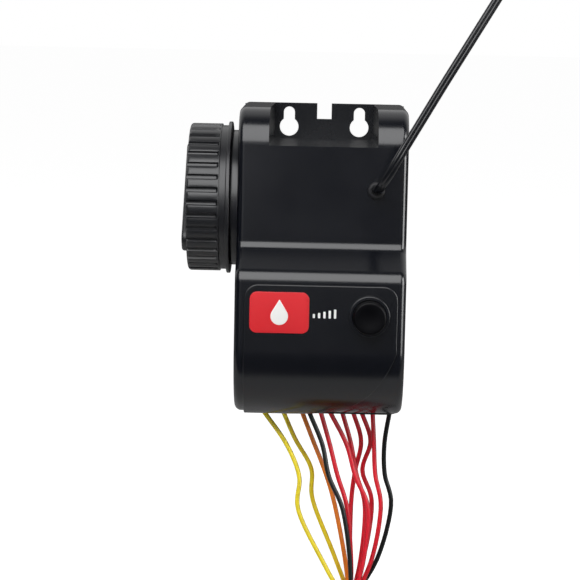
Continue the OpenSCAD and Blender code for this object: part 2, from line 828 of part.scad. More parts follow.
module antenna_nut() {
  color("#26272a") difference() {
    translate([antenna_x, -upper_depth + wall + gland_nut_t, antenna_z]) rotate([90, 0, 0])
      cylinder(r = gland_nut_r, h = gland_nut_t, $fn = 6);
    bar_forward(antenna_x, antenna_z, gland_body_r + fixed_gap / 2,
      upper_depth - wall - gland_nut_t - over, upper_depth - wall + over);
  }
}

module antenna_lead() {
  color("#141414") swept_tube(antenna_route, antenna_d);
}

// Sealed sleeve on the antenna's end
module antenna_tip() {
  from = antenna_route[len(antenna_route) - 1];
  along = heading(antenna_route, len(antenna_route) - 1);
  tilt = acos(along[2]);
  turn = atan2(along[1], along[0]);
  color("#141414") translate(from) rotate([0, tilt, turn]) {
    cylinder(r = tip_r, h = tip_len - tip_r);
    translate([0, 0, tip_len - tip_r]) sphere(tip_r);
  }
}

module lead(route, shade) {
  color(shade) swept_tube(route, lead_d);
}

module hank_outline(r) {
  for (s = [0, 1]) translate([0, -s * hank_run]) circle(r);
  translate([-r, -hank_run]) square([2 * r, hank_run]);
}

module lead_hank() {
  color("#a33c2c") translate([hank_x, hank_y + hank_depth / 2, hank_top_z])
    rotate([90, 0, 0]) linear_extrude(hank_depth) hank_outline(hank_fold_r);
}

module hank_tie() {
  color("#1b1b1b") translate([hank_x, hank_y, hank_top_z - (hank_run + tie_h) / 2])
    linear_extrude(tie_h) difference() {
      square([2 * (hank_fold_r + tie_t), hank_depth + 2 * tie_t], center = true);
      square([2 * hank_fold_r, hank_depth], center = true);
    }
}

housing();
back_plate();
back_screws();
back_seal();
battery_chamber();
neck_seal();
contact_board();
contact_pins();
battery_cap();
cap_seal();
battery_carrier();
battery_upper();
battery_lower();
battery_snaps();
face_panel();
badge();
badge_symbol();
panel_marks();
button_cap();
button_bezel();
button_nut();
button_seal();
button_spring();
button_clip();
main_board();
board_screws();
tact_switch();
radio_module();
microcontroller();
capacitors();
driver_chips();
lead_header();
lead_grommet();
potting_block();
antenna_gland();
antenna_nut();
antenna_lead();
antenna_tip();
lead(yellow_1_route, "#e3c512");  // lead_yellow_1
lead(yellow_2_route, "#e3c512");  // lead_yellow_2
lead(orange_route, "#e8631a");  // lead_orange
lead(black_1_route, "#141414");  // lead_black_1
lead(red_1_route, "#cf1020");  // lead_red_1
lead(red_2_route, "#cf1020");  // lead_red_2
lead(red_3_route, "#cf1020");  // lead_red_3
lead(red_4_route, "#cf1020");  // lead_red_4
lead(red_5_route, "#cf1020");  // lead_red_5
lead(red_6_route, "#cf1020");  // lead_red_6
lead(black_2_route, "#141414");  // lead_black_2
lead_hank();
hank_tie();
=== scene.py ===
# %% [markdown]
# A battery irrigation controller hangs on a wall by two keyholes. Its joints, sizes and
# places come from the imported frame; this lesson gives it its surfaces, its leads and its light.

# %% The frame
import json

import bmesh
import bpy
import numpy as np
from mathutils import Matrix, Vector


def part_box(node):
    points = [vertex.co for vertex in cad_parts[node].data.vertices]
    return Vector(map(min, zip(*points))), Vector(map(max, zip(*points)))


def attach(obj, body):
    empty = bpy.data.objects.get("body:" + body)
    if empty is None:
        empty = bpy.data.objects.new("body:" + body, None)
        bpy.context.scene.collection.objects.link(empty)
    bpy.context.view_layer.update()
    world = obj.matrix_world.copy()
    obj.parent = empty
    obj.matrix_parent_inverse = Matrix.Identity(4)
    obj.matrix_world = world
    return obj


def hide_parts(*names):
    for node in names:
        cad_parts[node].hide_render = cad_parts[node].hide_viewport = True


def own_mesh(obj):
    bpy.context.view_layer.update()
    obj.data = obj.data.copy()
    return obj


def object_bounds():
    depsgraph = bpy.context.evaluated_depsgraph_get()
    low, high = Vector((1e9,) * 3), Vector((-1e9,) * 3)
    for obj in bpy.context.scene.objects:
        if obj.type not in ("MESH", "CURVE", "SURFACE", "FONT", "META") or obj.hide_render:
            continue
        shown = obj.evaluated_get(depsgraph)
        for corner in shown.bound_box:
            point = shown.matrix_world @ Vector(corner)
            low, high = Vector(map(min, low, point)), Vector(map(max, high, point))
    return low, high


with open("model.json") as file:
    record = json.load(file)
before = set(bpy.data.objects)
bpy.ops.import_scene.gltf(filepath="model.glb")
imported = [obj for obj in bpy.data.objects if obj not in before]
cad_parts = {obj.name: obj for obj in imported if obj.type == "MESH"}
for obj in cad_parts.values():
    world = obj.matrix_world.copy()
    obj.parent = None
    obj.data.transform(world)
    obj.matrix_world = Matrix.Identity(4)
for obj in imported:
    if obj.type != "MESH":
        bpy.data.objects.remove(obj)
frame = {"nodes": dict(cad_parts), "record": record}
cad_low, cad_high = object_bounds()
record = frame["record"]
body_of = {n: b for b, nodes in record["behaviour"]["bodies"].items() for n in nodes}
colour_of = {m["slot"]: tuple(m["base_color"][:3]) for m in record["materials"]}

# %% [markdown]
# The work is in millimetres where a maker would measure, so one factor turns a size into
# metres. Every place is read from the frame's own boxes.

# %% Units and places read from the frame
MM = 0.001


def extent(node):
    """Lowest and highest corner of a frame node, in millimetres."""
    low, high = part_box(node)
    return np.array(low) / MM, np.array(high) / MM


case_low, case_high = extent("housing")
half_w = case_high[0]
top_z = case_high[2]
bottom_z = case_low[2]
front_depth = -case_low[1]
plate_t = -extent("back_plate")[0][1]
print("housing", np.round(case_high - case_low, 1), "mm")

# %% [markdown]
# The camera stands about a metre in front, a little above the middle and a hair to the
# right, and leans by about a degree. The long lens keeps the casing's sides nearly parallel.

# %% Camera
VIEW_AZIMUTH, VIEW_ELEVATION, VIEW_ROLL = np.radians([0.82, 7.15, 1.18])
VIEW_DISTANCE = 1041.24
VIEW_TARGET = np.array([-14.4, -40.0, -75.37])
LENS_MM, SENSOR_MM, FURTHEST_SEEN = 136.55, 36.0, 20

forward = np.array([
    -np.sin(VIEW_AZIMUTH) * np.cos(VIEW_ELEVATION),
    np.cos(VIEW_AZIMUTH) * np.cos(VIEW_ELEVATION),
    -np.sin(VIEW_ELEVATION),
])
level_right = np.array([np.cos(VIEW_AZIMUTH), np.sin(VIEW_AZIMUTH), 0.0])
level_up = np.cross(level_right, forward)
right = level_right * np.cos(VIEW_ROLL) + level_up * np.sin(VIEW_ROLL)
up = level_up * np.cos(VIEW_ROLL) - level_right * np.sin(VIEW_ROLL)
camera_data = bpy.data.cameras.new("studio_camera")
camera_data.lens = LENS_MM
camera_data.sensor_width = SENSOR_MM
camera_data.clip_end = FURTHEST_SEEN
camera = bpy.data.objects.new("studio_camera", camera_data)
turn = Matrix(np.column_stack([right, up, -forward]).tolist()).to_4x4()
camera.matrix_world = Matrix.Translation(Vector((VIEW_TARGET - forward * VIEW_DISTANCE) * MM)) @ turn
bpy.context.scene.collection.objects.link(camera)
bpy.context.scene.camera = camera
print("camera", round(VIEW_DISTANCE), "mm away, lens of", LENS_MM, "mm")

# %% [markdown]
# Every new piece is a grid of points worked out as one array. This cell turns such a grid
# into a closed mesh: rings of points are joined by quads, and the two end rings are closed
# by flat faces. Edges sharper than a limit are marked, so smooth shading stops there.

# %% Meshes from grids
SHARP_ANGLE = np.radians(38)
WELD_DISTANCE = 2e-6


def ring_quads(rings, count, wrap_rings=False):
    """Quads between neighbouring rings of count points each; each ring is closed."""
    i, j = np.meshgrid(np.arange(rings if wrap_rings else rings - 1), np.arange(count), indexing="ij")
    i, j = i.ravel(), j.ravel()
    nxt, side = (i + 1) % rings, (j + 1) % count
    return np.column_stack([i * count + j, i * count + side, nxt * count + side, nxt * count + j])


def mark_sharp(bm):
    """Smooth shading everywhere but across the edges that turn more than the limit."""
    for edge in bm.edges:
        edge.smooth = not (len(edge.link_faces) == 2 and edge.calc_face_angle(0.0) > SHARP_ANGLE)
    for face in bm.faces:
        face.smooth = True


def tidy_mesh(mesh):
    """Welds doubles, turns faces outwards and marks sharp edges."""
    bm = bmesh.new()
    bm.from_mesh(mesh)
    bmesh.ops.remove_doubles(bm, verts=bm.verts, dist=WELD_DISTANCE)
    bmesh.ops.dissolve_degenerate(bm, edges=bm.edges, dist=WELD_DISTANCE / 2)
    bmesh.ops.recalc_face_normals(bm, faces=bm.faces)
    mark_sharp(bm)
    bm.to_mesh(mesh)
    bm.free()
    return mesh


def new_mesh(name, points, faces):
    """A mesh from an array of points in millimetres and a list of faces."""
    mesh = bpy.data.meshes.new(name)
    mesh.from_pydata((np.asarray(points) * MM).tolist(), [], [list(map(int, f)) for f in faces])
    return tidy_mesh(mesh)


def loft(name, rings, wrap_rings=False):
    """Mesh from an array (rings, points, 3); its two ends are closed unless the rings wrap."""
    count = rings.shape[1]
    faces = ring_quads(rings.shape[0], count, wrap_rings).tolist()
    if not wrap_rings:
        faces.append(list(range(count)))
        faces.append([(rings.shape[0] - 1) * count + j for j in reversed(range(count))])
    return new_mesh(name, rings.reshape(-1, 3), faces)


def joined(name, meshes):
    """One mesh from several, each with its own closed surface."""
    bm = bmesh.new()
    for mesh in meshes:
        bm.from_mesh(mesh)
        bpy.data.meshes.remove(mesh)
    whole = bpy.data.meshes.new(name)
    bm.to_mesh(whole)
    bm.free()
    return whole


def piece(name, mesh, material, body, replaces=()):
    """Puts a mesh into the scene as a piece that rides on a body."""
    obj = bpy.data.objects.new(name, mesh)
    mesh.materials.clear()
    mesh.materials.append(material)
    bpy.context.scene.collection.objects.link(obj)
    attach(obj, body)
    if replaces:
        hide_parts(*replaces)
    return obj


# %% [markdown]
# Plastic is never one flat colour. A fine grain from the mould lifts the surface by a few
# hundredths of a millimetre at most, and hands leave slightly duller patches. Both are one
# shared group, which every material below uses with its own scale and amount.

# %% Shared shader group: grain and handling
GRAIN_DETAIL, PATCH_DETAIL, PATCH_ROUGHNESS = 3.0, 5.0, 0.62
PATCH_LOW, PATCH_HIGH = 0.3, 0.7
DARKEST = 0.94


def grain_group():
    """Group that puts out a colour times (DARKEST + spread * patch), a roughness between
    its low and high value, and the height of the grain."""
    group = bpy.data.node_groups.new("grain_and_handling", "ShaderNodeTree")
    for label, kind, value in (
        ("Colour", "NodeSocketColor", (0.5, 0.5, 0.5, 1)),
        ("Grain Scale", "NodeSocketFloat", 2200.0),
        ("Patch Scale", "NodeSocketFloat", 28.0),
        ("Roughness Low", "NodeSocketFloat", 0.25),
        ("Roughness High", "NodeSocketFloat", 0.35),
        ("Colour Spread", "NodeSocketFloat", 0.12),
    ):
        group.interface.new_socket(label, in_out="INPUT", socket_type=kind).default_value = value
    for label, kind in (("Colour", "NodeSocketColor"), ("Roughness", "NodeSocketFloat"),
                        ("Height", "NodeSocketFloat")):
        group.interface.new_socket(label, in_out="OUTPUT", socket_type=kind)
    add, link = group.nodes.new, group.links.new
    given, out = add("NodeGroupInput"), add("NodeGroupOutput")
    place = add("ShaderNodeTexCoord")
    grain, patch = add("ShaderNodeTexNoise"), add("ShaderNodeTexNoise")
    grain.inputs["Detail"].default_value = GRAIN_DETAIL
    patch.inputs["Detail"].default_value = PATCH_DETAIL
    patch.inputs["Roughness"].default_value = PATCH_ROUGHNESS
    for node, scale in ((grain, "Grain Scale"), (patch, "Patch Scale")):
        link(place.outputs["Object"], node.inputs["Vector"])
        link(given.outputs[scale], node.inputs["Scale"])
    rough = add("ShaderNodeMapRange")
    rough.inputs["From Min"].default_value = PATCH_LOW
    rough.inputs["From Max"].default_value = PATCH_HIGH
    link(patch.outputs["Fac"], rough.inputs["Value"])
    link(given.outputs["Roughness Low"], rough.inputs["To Min"])
    link(given.outputs["Roughness High"], rough.inputs["To Max"])
    darker = add("ShaderNodeHueSaturation")
    level = add("ShaderNodeMath")
    level.operation = "MULTIPLY_ADD"
    link(patch.outputs["Fac"], level.inputs[0])
    link(given.outputs["Colour Spread"], level.inputs[1])
    level.inputs[2].default_value = DARKEST
    link(given.outputs["Colour"], darker.inputs["Color"])
    link(level.outputs["Value"], darker.inputs["Value"])
    link(darker.outputs["Color"], out.inputs["Colour"])
    link(rough.outputs["Result"], out.inputs["Roughness"])
    link(grain.outputs["Fac"], out.inputs["Height"])
    return group


GRAIN = grain_group()


# %% [markdown]
# A material is then one call. Its colour comes from the record's slot, unless a deeper tone
# is given, as the blacks need under studio light. The rest says how glossy, how grainy and
# how metallic it is.

# %% Material maker
BUMP_STRENGTH, COAT_ROUGHNESS = 0.5, 0.08


def finish(name, slot, rough=(0.25, 0.35), grain=(2200.0, 0.02), patch=28.0, metallic=0.0,
           coat=0.0, spread=0.12, specular=0.5, colour=None):
    """Principled material of a slot's colour with grain (scale, height in mm) and patches."""
    material = bpy.data.materials.new(name)
    material.use_nodes = True
    nodes, links = material.node_tree.nodes, material.node_tree.links
    shader = nodes["Principled BSDF"]
    shared = nodes.new("ShaderNodeGroup")
    shared.node_tree = GRAIN
    shared.inputs["Colour"].default_value = (*(colour or colour_of[slot]), 1)
    shared.inputs["Grain Scale"].default_value = grain[0]
    shared.inputs["Patch Scale"].default_value = patch
    shared.inputs["Roughness Low"].default_value = rough[0]
    shared.inputs["Roughness High"].default_value = rough[1]
    shared.inputs["Colour Spread"].default_value = spread
    bump = nodes.new("ShaderNodeBump")
    bump.inputs["Strength"].default_value = BUMP_STRENGTH
    bump.inputs["Distance"].default_value = grain[1] * MM
    links.new(shared.outputs["Height"], bump.inputs["Height"])
    links.new(shared.outputs["Colour"], shader.inputs["Base Color"])
    links.new(shared.outputs["Roughness"], shader.inputs["Roughness"])
    links.new(bump.outputs["Normal"], shader.inputs["Normal"])
    shader.inputs["Metallic"].default_value = metallic
    shader.inputs["Coat Weight"].default_value = coat
    shader.inputs["Coat Roughness"].default_value = COAT_ROUGHNESS
    shader.inputs["Specular IOR Level"].default_value = specular
    return material


# %% [markdown]
# The casing is glossy moulded plastic, the cap and the compartment a little duller. The
# button drinks light, so its gloss is turned down. Rubber is matt, and the leads have a
# soft vinyl shine.

# %% Finishes
housing_gloss = finish("housing_gloss", "housing_black", (0.17, 0.25), (1500, 0.006), 22,
                       colour=(0.0036, 0.0044, 0.0074))
plate_satin = finish("plate_satin", "plate_black", (0.22, 0.3), (1800, 0.006), 30, specular=0.25,
                     colour=(0.0042, 0.0048, 0.0068))
cap_grained = finish("cap_grained", "cap_black", (0.3, 0.38), (2600, 0.015), 40,
                     colour=(0.009, 0.0095, 0.0115))
chamber_satin = finish("chamber_satin", "chamber_black", (0.24, 0.32), (2200, 0.015), 35,
                       colour=(0.009, 0.0095, 0.012))
panel_film = finish("panel_film", "panel_black", (0.2, 0.28), (900, 0.003), 18,
                    colour=(0.0022, 0.0029, 0.0054))
badge_print = finish("badge_print", "badge_red", (0.28, 0.38), (1600, 0.006), 24, spread=0.06,
                     specular=0.35, colour=(0.72, 0.016, 0.024))
white_print = finish("white_print", "symbol_white", (0.35, 0.45), (1600, 0.006), 30, spread=0.05)
button_satin = finish("button_satin", "button_black", (0.28, 0.38), (2400, 0.01), 30, specular=0.1,
                      colour=(0.0012, 0.0012, 0.002))
seal_matte = finish("seal_matte", "seal_rubber", (0.5, 0.65), (3000, 0.03), 60, specular=0.3,
                    colour=(0.006, 0.006, 0.0075))
spring_wire = finish("spring_wire", "spring_steel", (0.22, 0.34), (2600, 0.01), 90, metallic=1.0)
screw_zinc = finish("screw_zinc", "screw_steel", (0.28, 0.42), (1800, 0.01), 80, metallic=1.0)
gold_plate = finish("gold_plate", "contact_gold", (0.2, 0.3), (2400, 0.006), 90, metallic=1.0)
nickel_plate = finish("nickel_plate", "contact_nickel", (0.12, 0.22), (2400, 0.005), 90, metallic=1.0)
solder_mask = finish("solder_mask", "board_green", (0.3, 0.4), (1200, 0.01), 60, coat=0.3, spread=0.3)
chip_epoxy = finish("chip_epoxy", "chip_black", (0.5, 0.65), (3200, 0.03), 70)
can_metal = finish("can_metal", "can_aluminium", (0.3, 0.42), (1500, 0.01), 70, metallic=1.0)
nylon_white = finish("nylon_white", "header_plastic", (0.4, 0.52), (1800, 0.02), 50)
resin_cast = finish("resin_cast", "potting_resin", (0.1, 0.18), (500, 0.03), 20)
battery_jacket = finish("battery_jacket", "battery_case", (0.25, 0.35), (900, 0.005), 40, coat=0.3)
JACKET_GRAIN = (1400, 0.02)
jackets = {shade: finish("jacket_" + shade, "lead_" + shade, (0.28, 0.38), JACKET_GRAIN, 60,
                         spread=0.15, specular=0.3) for shade in ("yellow", "orange", "red")}
jackets["black"] = finish("jacket_black", "lead_black", (0.26, 0.36), JACKET_GRAIN, 60,
                          specular=0.3, colour=(0.006, 0.0075, 0.008))
antenna_jacket = finish("antenna_jacket", "antenna_black", (0.18, 0.26), (1600, 0.015), 60,
                        colour=(0.0045, 0.005, 0.007))
copper = finish("copper_wire", "copper_strands", (0.25, 0.4), (2600, 0.01), 120, metallic=1.0)
tie_nylon = finish("tie_nylon", "tie_nylon", (0.4, 0.5), (2000, 0.02), 50)
print(len(bpy.data.materials), "materials")

# %% [markdown]
# Eleven insulated leads leave the underside and hang. Each is one fixed length of wire,
# 345 mm in all, of which the last 8 mm are bare strands. The upper part follows a short list
# of points; the rest is folded into a hank, a flat oval of two turns, each lead in its own
# layer.

# %% Routes of the leads, in millimetres
LEAD_D = 2.2
LEAD_LENGTH = 345.0
BARE_LENGTH = 8.0
hank_low, hank_high = extent("lead_hank")
HANK_X = (hank_low[0] + hank_high[0]) / 2
HANK_RUN = 38.0
HANK_OUTER = 11.5
HANK_PITCH = 2.3
hank_run_top = hank_high[2] - (hank_high[0] - hank_low[0]) / 2

LEAD_ROUTES = {
    "yellow_1": [(-25.5, -50, -132), (-14.5, -52, -147), (-8, -55, -162),
                 (-8, -57.5, -178), (5, -57.5, -204), (17.5, -57.5, -226)],
    "yellow_2": [(-17, -42, -132), (-10.5, -39, -147), (-2.5, -35.5, -162),
                 (-1.5, -32.5, -178), (9, -32.5, -204), (17.5, -32.5, -226)],
    "orange": [(-8, -42, -132), (-2, -41.5, -147), (4, -40.5, -162),
               (9, -40, -178), (14.5, -40, -204), (17.5, -40, -226)],
    "black_1": [(-4, -50, -132), (2.5, -51.5, -147), (6, -53.5, -162),
                (13, -55, -178), (17, -55, -204), (17.5, -55, -226)],
    "red_1": [(1.5, -50, -132), (6, -50, -147), (10, -50, -162),
              (15, -50, -178), (17.5, -50, -204), (17.5, -50, -226)],
    "red_2": [(6, -50, -132), (14, -50.5, -147), (18.5, -51.5, -162),
              (25, -52.5, -178), (23, -52.5, -204), (17.5, -52.5, -226)],
    "red_3": [(11.5, -46, -132), (16, -45.5, -147), (19, -45, -162),
              (23.5, -45, -178), (22, -45, -204), (17.5, -45, -226)],
    "red_4": [(16.5, -42, -132), (21, -40.5, -147), (18.5, -39, -162),
              (17, -37.5, -178), (17, -37.5, -204), (17.5, -37.5, -226)],
    "red_5": [(20.5, -42, -132), (25.5, -40, -147), (22, -37, -162),
              (27, -35, -178), (24, -35, -204), (17.5, -35, -226)],
    "red_6": [(26, -46, -132), (27, -46.5, -147), (28, -47, -162),
              (31, -47.5, -178), (27, -47.5, -204), (17.5, -47.5, -226)],
    "black_2": [(34, -46, -132), (32, -45, -147), (32.5, -43.5, -162),
                (36, -42.5, -178), (30, -42.5, -204), (17.5, -42.5, -226)],
}
ANTENNA_ROUTE = [(24.5, -71.5, -25), (25, -77, -24.5), (26.5, -82, -22), (29.5, -85.5, -17),
                 (33, -87, -10.5), (37.5, -87, -2.5), (45, -87, 10.5), (52.5, -87, 23.5),
                 (60.5, -87, 37), (68.5, -87, 50.5), (76.5, -87, 64)]


# %% [markdown]
# A smooth curve through given points is a Catmull-Rom spline: between two points it is a
# cubic whose slope at each end is set by the points on either side.

# %% Curves through points
def smooth_through(points, per_span=6):
    """Catmull-Rom curve: p(t) = the cubic with end slopes (next - previous) / 2."""
    p = np.asarray(points, float)
    p = np.vstack([2 * p[0] - p[1], p, 2 * p[-1] - p[-2]])
    t = np.linspace(0, 1, per_span, endpoint=False)[None, :, None]
    a, b, c, d = (p[k:len(p) - 3 + k][:, None, :] for k in range(4))
    curve = 0.5 * (2 * b + (c - a) * t + (2 * a - 5 * b + 4 * c - d) * t**2
                   + (3 * b - a - 3 * c + d) * t**3)
    return np.vstack([curve.reshape(-1, 3), p[-2]])


def arc_lengths(path):
    """Distance along a path at each of its points."""
    return np.concatenate([[0.0], np.cumsum(np.linalg.norm(np.diff(path, axis=0), axis=1))])


def cut_between(path, start, end, step):
    """Points every step or so along a path, from one distance to another."""
    along = arc_lengths(path)
    wanted = np.linspace(start, end, max(2, int(round((end - start) / step)) + 1))
    return np.column_stack([np.interp(wanted, along, path[:, k]) for k in range(3)])


def hank_loops(y):
    """Flat oval of straight runs and half-circle folds in the plane y; it winds inwards."""
    inner = HANK_OUTER - HANK_PITCH
    low = hank_run_top - HANK_RUN
    fold = np.linspace(0, np.pi, 19)
    level = np.full_like(fold, y)
    run = np.linspace(0, 1, 9)[:, None]

    def straight(x, z0, z1):
        return np.hstack([np.full_like(run, x), np.full_like(run, y), z0 + (z1 - z0) * run])

    def under(r):
        return np.column_stack([HANK_X + r * np.cos(fold), level, low - r * np.sin(fold)])

    shrink = HANK_OUTER - HANK_PITCH * fold / np.pi
    over = np.column_stack([HANK_X - shrink * np.cos(fold), level,
                            hank_run_top + shrink * np.sin(fold)])
    return np.vstack([straight(HANK_X + HANK_OUTER, hank_run_top, low), under(HANK_OUTER)[1:],
                      straight(HANK_X - HANK_OUTER, low, hank_run_top)[1:], over[1:],
                      straight(HANK_X + inner, hank_run_top, low)[1:], under(inner)[1:],
                      straight(HANK_X - inner, low, hank_run_top)[1:]])


# %% [markdown]
# A wire is a small outline carried along its path. The outline turns with the path but
# never twists about it: each frame is the last one turned by as little as possible.

# %% Sweeps
def frames_along(path, guide):
    """Tangent, and two sides that follow the path from a guide direction without twist."""
    tangent = np.gradient(path, axis=0)
    tangent /= np.linalg.norm(tangent, axis=1)[:, None]
    side = np.empty_like(tangent)
    now = np.asarray(guide, float)
    for i, t in enumerate(tangent):
        now = now - t * (now @ t)
        now /= np.linalg.norm(now)
        side[i] = now
    return tangent, side, np.cross(tangent, side)


def sweep(name, path, outline, guide=(1, 0, 0)):
    """Mesh of an outline (points, 2) in millimetres carried along a path."""
    _, side, other = frames_along(path, guide)
    rings = (path[:, None, :] + outline[None, :, 0:1] * side[:, None, :]
             + outline[None, :, 1:2] * other[:, None, :])
    return loft(name, rings)


def circle(r, n):
    """n points of a circle of radius r."""
    a = np.linspace(0, 2 * np.pi, n, endpoint=False)
    return np.column_stack([r * np.cos(a), r * np.sin(a)])


# %% [markdown]
# Each lead is a jacket and the stripped copper at its end: seven fine strands, six of them
# wound round the seventh. The jacket has its real length and thickness.

# %% The eleven leads and their bare ends
STRAND_R, STRAND_GAP, STRAND_TURN = 0.19, 2.05, 9.0
JACKET_STEP, BARE_STEP, BARE_TUCK = 1.5, 0.8, 0.5


def stripped_end(name, path):
    """Seven strands: one straight and six wound round it, one turn in STRAND_TURN."""
    _, side, other = frames_along(path, (1, 0, 0))
    along = arc_lengths(path)
    outline = circle(STRAND_R, 6)
    strands = [sweep(name + "_core", path, outline)]
    for k in range(6):
        a = along / STRAND_TURN * 2 * np.pi + k * np.pi / 3
        wound = path + STRAND_GAP * STRAND_R * (np.cos(a)[:, None] * side + np.sin(a)[:, None] * other)
        strands.append(sweep(name + "_strand", wound, outline))
    return joined(name, strands)


lead_tips = []
for label, points in LEAD_ROUTES.items():
    shade = label.split("_")[0]
    last_x, last_y, _ = points[-1]
    visible = smooth_through(points + [(last_x, last_y, hank_run_top)])
    whole = np.vstack([visible[:-1], hank_loops(last_y)])
    jacket = cut_between(whole, 0.0, LEAD_LENGTH - BARE_LENGTH, JACKET_STEP)
    bare = cut_between(whole, LEAD_LENGTH - BARE_LENGTH - BARE_TUCK, LEAD_LENGTH, BARE_STEP)
    replaced = ["lead_" + label] + (["lead_hank"] if not lead_tips else [])
    wire = piece("wire_" + label, sweep("wire_" + label, jacket, circle(LEAD_D / 2, 12)),
                 jackets[shade], "case", replaced)
    tip = piece("bare_end_" + label, stripped_end("bare_end_" + label, bare), copper, "case")
    lead_tips.append(tip)
print(len(lead_tips), "leads of", LEAD_LENGTH, "mm")

# %% [markdown]
# The antenna lead is stiffer: a flat twin cable, two round cores side by side in one
# jacket. It bows out of its gland and stands up to the right, and ends in a sealed sleeve.

# %% Antenna lead and its sleeve
ANTENNA_WIDTH, CORE_R = 4.2, 1.3
ANTENNA_FLAT_TOWARDS = (0.8, 0.5, -0.3)
SLEEVE_LENGTH, SLEEVE_WALL = 14.0, 0.7


def twin_outline(width, core_r, n=28):
    """Outline of two circles side by side, blended in the middle: r(a) from a cosine law."""
    a = np.linspace(0, 2 * np.pi, n, endpoint=False)
    shift = width / 2 - core_r
    lobe = shift * np.abs(np.cos(a)) + np.sqrt(core_r**2 - (shift * np.sin(a))**2)
    return np.column_stack([lobe * np.cos(a), lobe * np.sin(a)])


antenna_path = smooth_through(ANTENNA_ROUTE, 8)
antenna_mesh = sweep("antenna_wire", antenna_path, twin_outline(ANTENNA_WIDTH, CORE_R),
                     ANTENNA_FLAT_TOWARDS)
antenna = piece("antenna_wire", antenna_mesh, antenna_jacket, "case",
                ["antenna_lead"])

sleeve_dir = antenna_path[-1] - antenna_path[-2]
sleeve_dir /= np.linalg.norm(sleeve_dir)
sleeve_r = ANTENNA_WIDTH / 2 + SLEEVE_WALL
dome = np.linspace(0.15, 1.55, 9)
sleeve_s = np.concatenate([[0, 0.15, 0.4], np.linspace(1, SLEEVE_LENGTH - sleeve_r, 8),
                           SLEEVE_LENGTH - sleeve_r + sleeve_r * np.sin(dome)])
sleeve_w = np.concatenate([[sleeve_r - 0.4, sleeve_r - 0.12, sleeve_r], np.full(8, sleeve_r),
                           sleeve_r * np.cos(dome)])
sleeve_path = antenna_path[-1] + sleeve_s[:, None] * sleeve_dir
_, sleeve_side, sleeve_other = frames_along(sleeve_path, (1, 0, 0))
sleeve_ring = circle(1.0, 32)
sleeve_turn = (sleeve_ring[None, :, 0:1] * sleeve_side[:, None, :]
               + sleeve_ring[None, :, 1:2] * sleeve_other[:, None, :])
sleeve_points = sleeve_path[:, None, :] + sleeve_w[:, None, None] * sleeve_turn
sleeve = piece("antenna_sleeve", loft("antenna_sleeve", sleeve_points), antenna_jacket, "case",
               ["antenna_tip"])

# %% [markdown]
# Several pieces are thin slabs with a softened front edge: the badge, the printed marks and
# the grip bar. A slab is its outline pushed forward, then drawn in along a quarter circle.

# %% Slabs and lathes
ROUND_EDGE = np.linspace(0, np.pi / 2, 6)


def smooth_step(t):
    """0 to 1 with level ends: 3 t^2 - 2 t^3."""
    return t * t * (3 - 2 * t)


def rounded_outline(w, h, r, n=8):
    """Rectangle w by h with corners of radius r, n points a quarter."""
    q = np.linspace(0, np.pi / 2, n)
    corners = [(w / 2 - r, h / 2 - r, 0), (r - w / 2, h / 2 - r, 1),
               (r - w / 2, r - h / 2, 2), (w / 2 - r, r - h / 2, 3)]
    return np.vstack([np.column_stack([cx + r * np.cos(q + k * np.pi / 2),
                                       cz + r * np.sin(q + k * np.pi / 2)])
                      for cx, cz, k in corners])


def inset_outline(outline, by):
    """Outline moved inwards along its own normals; it runs anticlockwise."""
    ahead, behind = np.roll(outline, -1, 0), np.roll(outline, 1, 0)
    tangent = ahead - behind
    tangent /= np.linalg.norm(tangent, axis=1)[:, None] + 1e-12
    return outline + by * np.column_stack([-tangent[:, 1], tangent[:, 0]])


def slab(name, outline, origin, across, upward, outward, h0, h1, edge):
    """Outline in the plane (across, upward), from height h0 to h1 along outward, edge rounded."""
    origin, across, upward, outward = (
        np.asarray(v, float) for v in (origin, across, upward, outward))
    steps = [(0.0, h0)] + [(edge * (1 - np.cos(k)), h1 - edge * (1 - np.sin(k)))
                           for k in ROUND_EDGE]
    rings = []
    for inset, height in steps:
        flat = inset_outline(outline, inset) if inset else outline
        rings.append(origin + flat[:, :1] * across + flat[:, 1:] * upward + height * outward)
    return loft(name, np.array(rings))


def lathe(name, profile, centre, axis, side, n=96, closed=False, shift=None):
    """Surface of revolution: profile rows are (distance along axis, radius).
    shift(along, radius, angle) may change the radius round the turn."""
    profile = np.asarray(profile, float)
    axis, side, centre = (np.asarray(v, float) for v in (axis, side, centre))
    other = np.cross(axis, side)
    a = np.linspace(0, 2 * np.pi, n, endpoint=False)[None, :]
    along, radius = profile[:, :1], np.repeat(profile[:, 1:2], n, axis=1)
    if shift is not None:
        radius = shift(along, radius, a)
    rings = (centre + along[:, :, None] * axis + (radius * np.cos(a))[:, :, None] * side
             + (radius * np.sin(a))[:, :, None] * other)
    return loft(name, rings, wrap_rings=closed)


def rounded_profile(corners, n=4):
    """Polyline (along, radius, fillet) whose corners become curves of n points:
    (1 - t)^2 p + 2 t (1 - t) corner + t^2 q, with p and q a fillet away on either side."""
    out = [corners[0][:2]]
    for (a0, r0, _), (a1, r1, f), (a2, r2, _) in zip(corners, corners[1:], corners[2:]):
        here = np.array([a1, r1])
        before, after = np.array([a0, r0]) - here, np.array([a2, r2]) - here
        cut = min(f, 0.49 * np.linalg.norm(before), 0.49 * np.linalg.norm(after))
        p = here + before / np.linalg.norm(before) * cut
        q = here + after / np.linalg.norm(after) * cut
        t = np.linspace(0, 1, n)[:, None]
        curve = (1 - t)**2 * p + 2 * t * (1 - t) * here + t**2 * q
        out.extend(curve.tolist() if cut > 0 else [here.tolist()])
    out.append(corners[-1][:2])
    return np.array(out)


# %% [markdown]
# Openings are cut with exact booleans, and the edges that a cut leaves get a fine bevel, as
# a mould would give them. Both modifiers are applied at once, so the mesh is final.

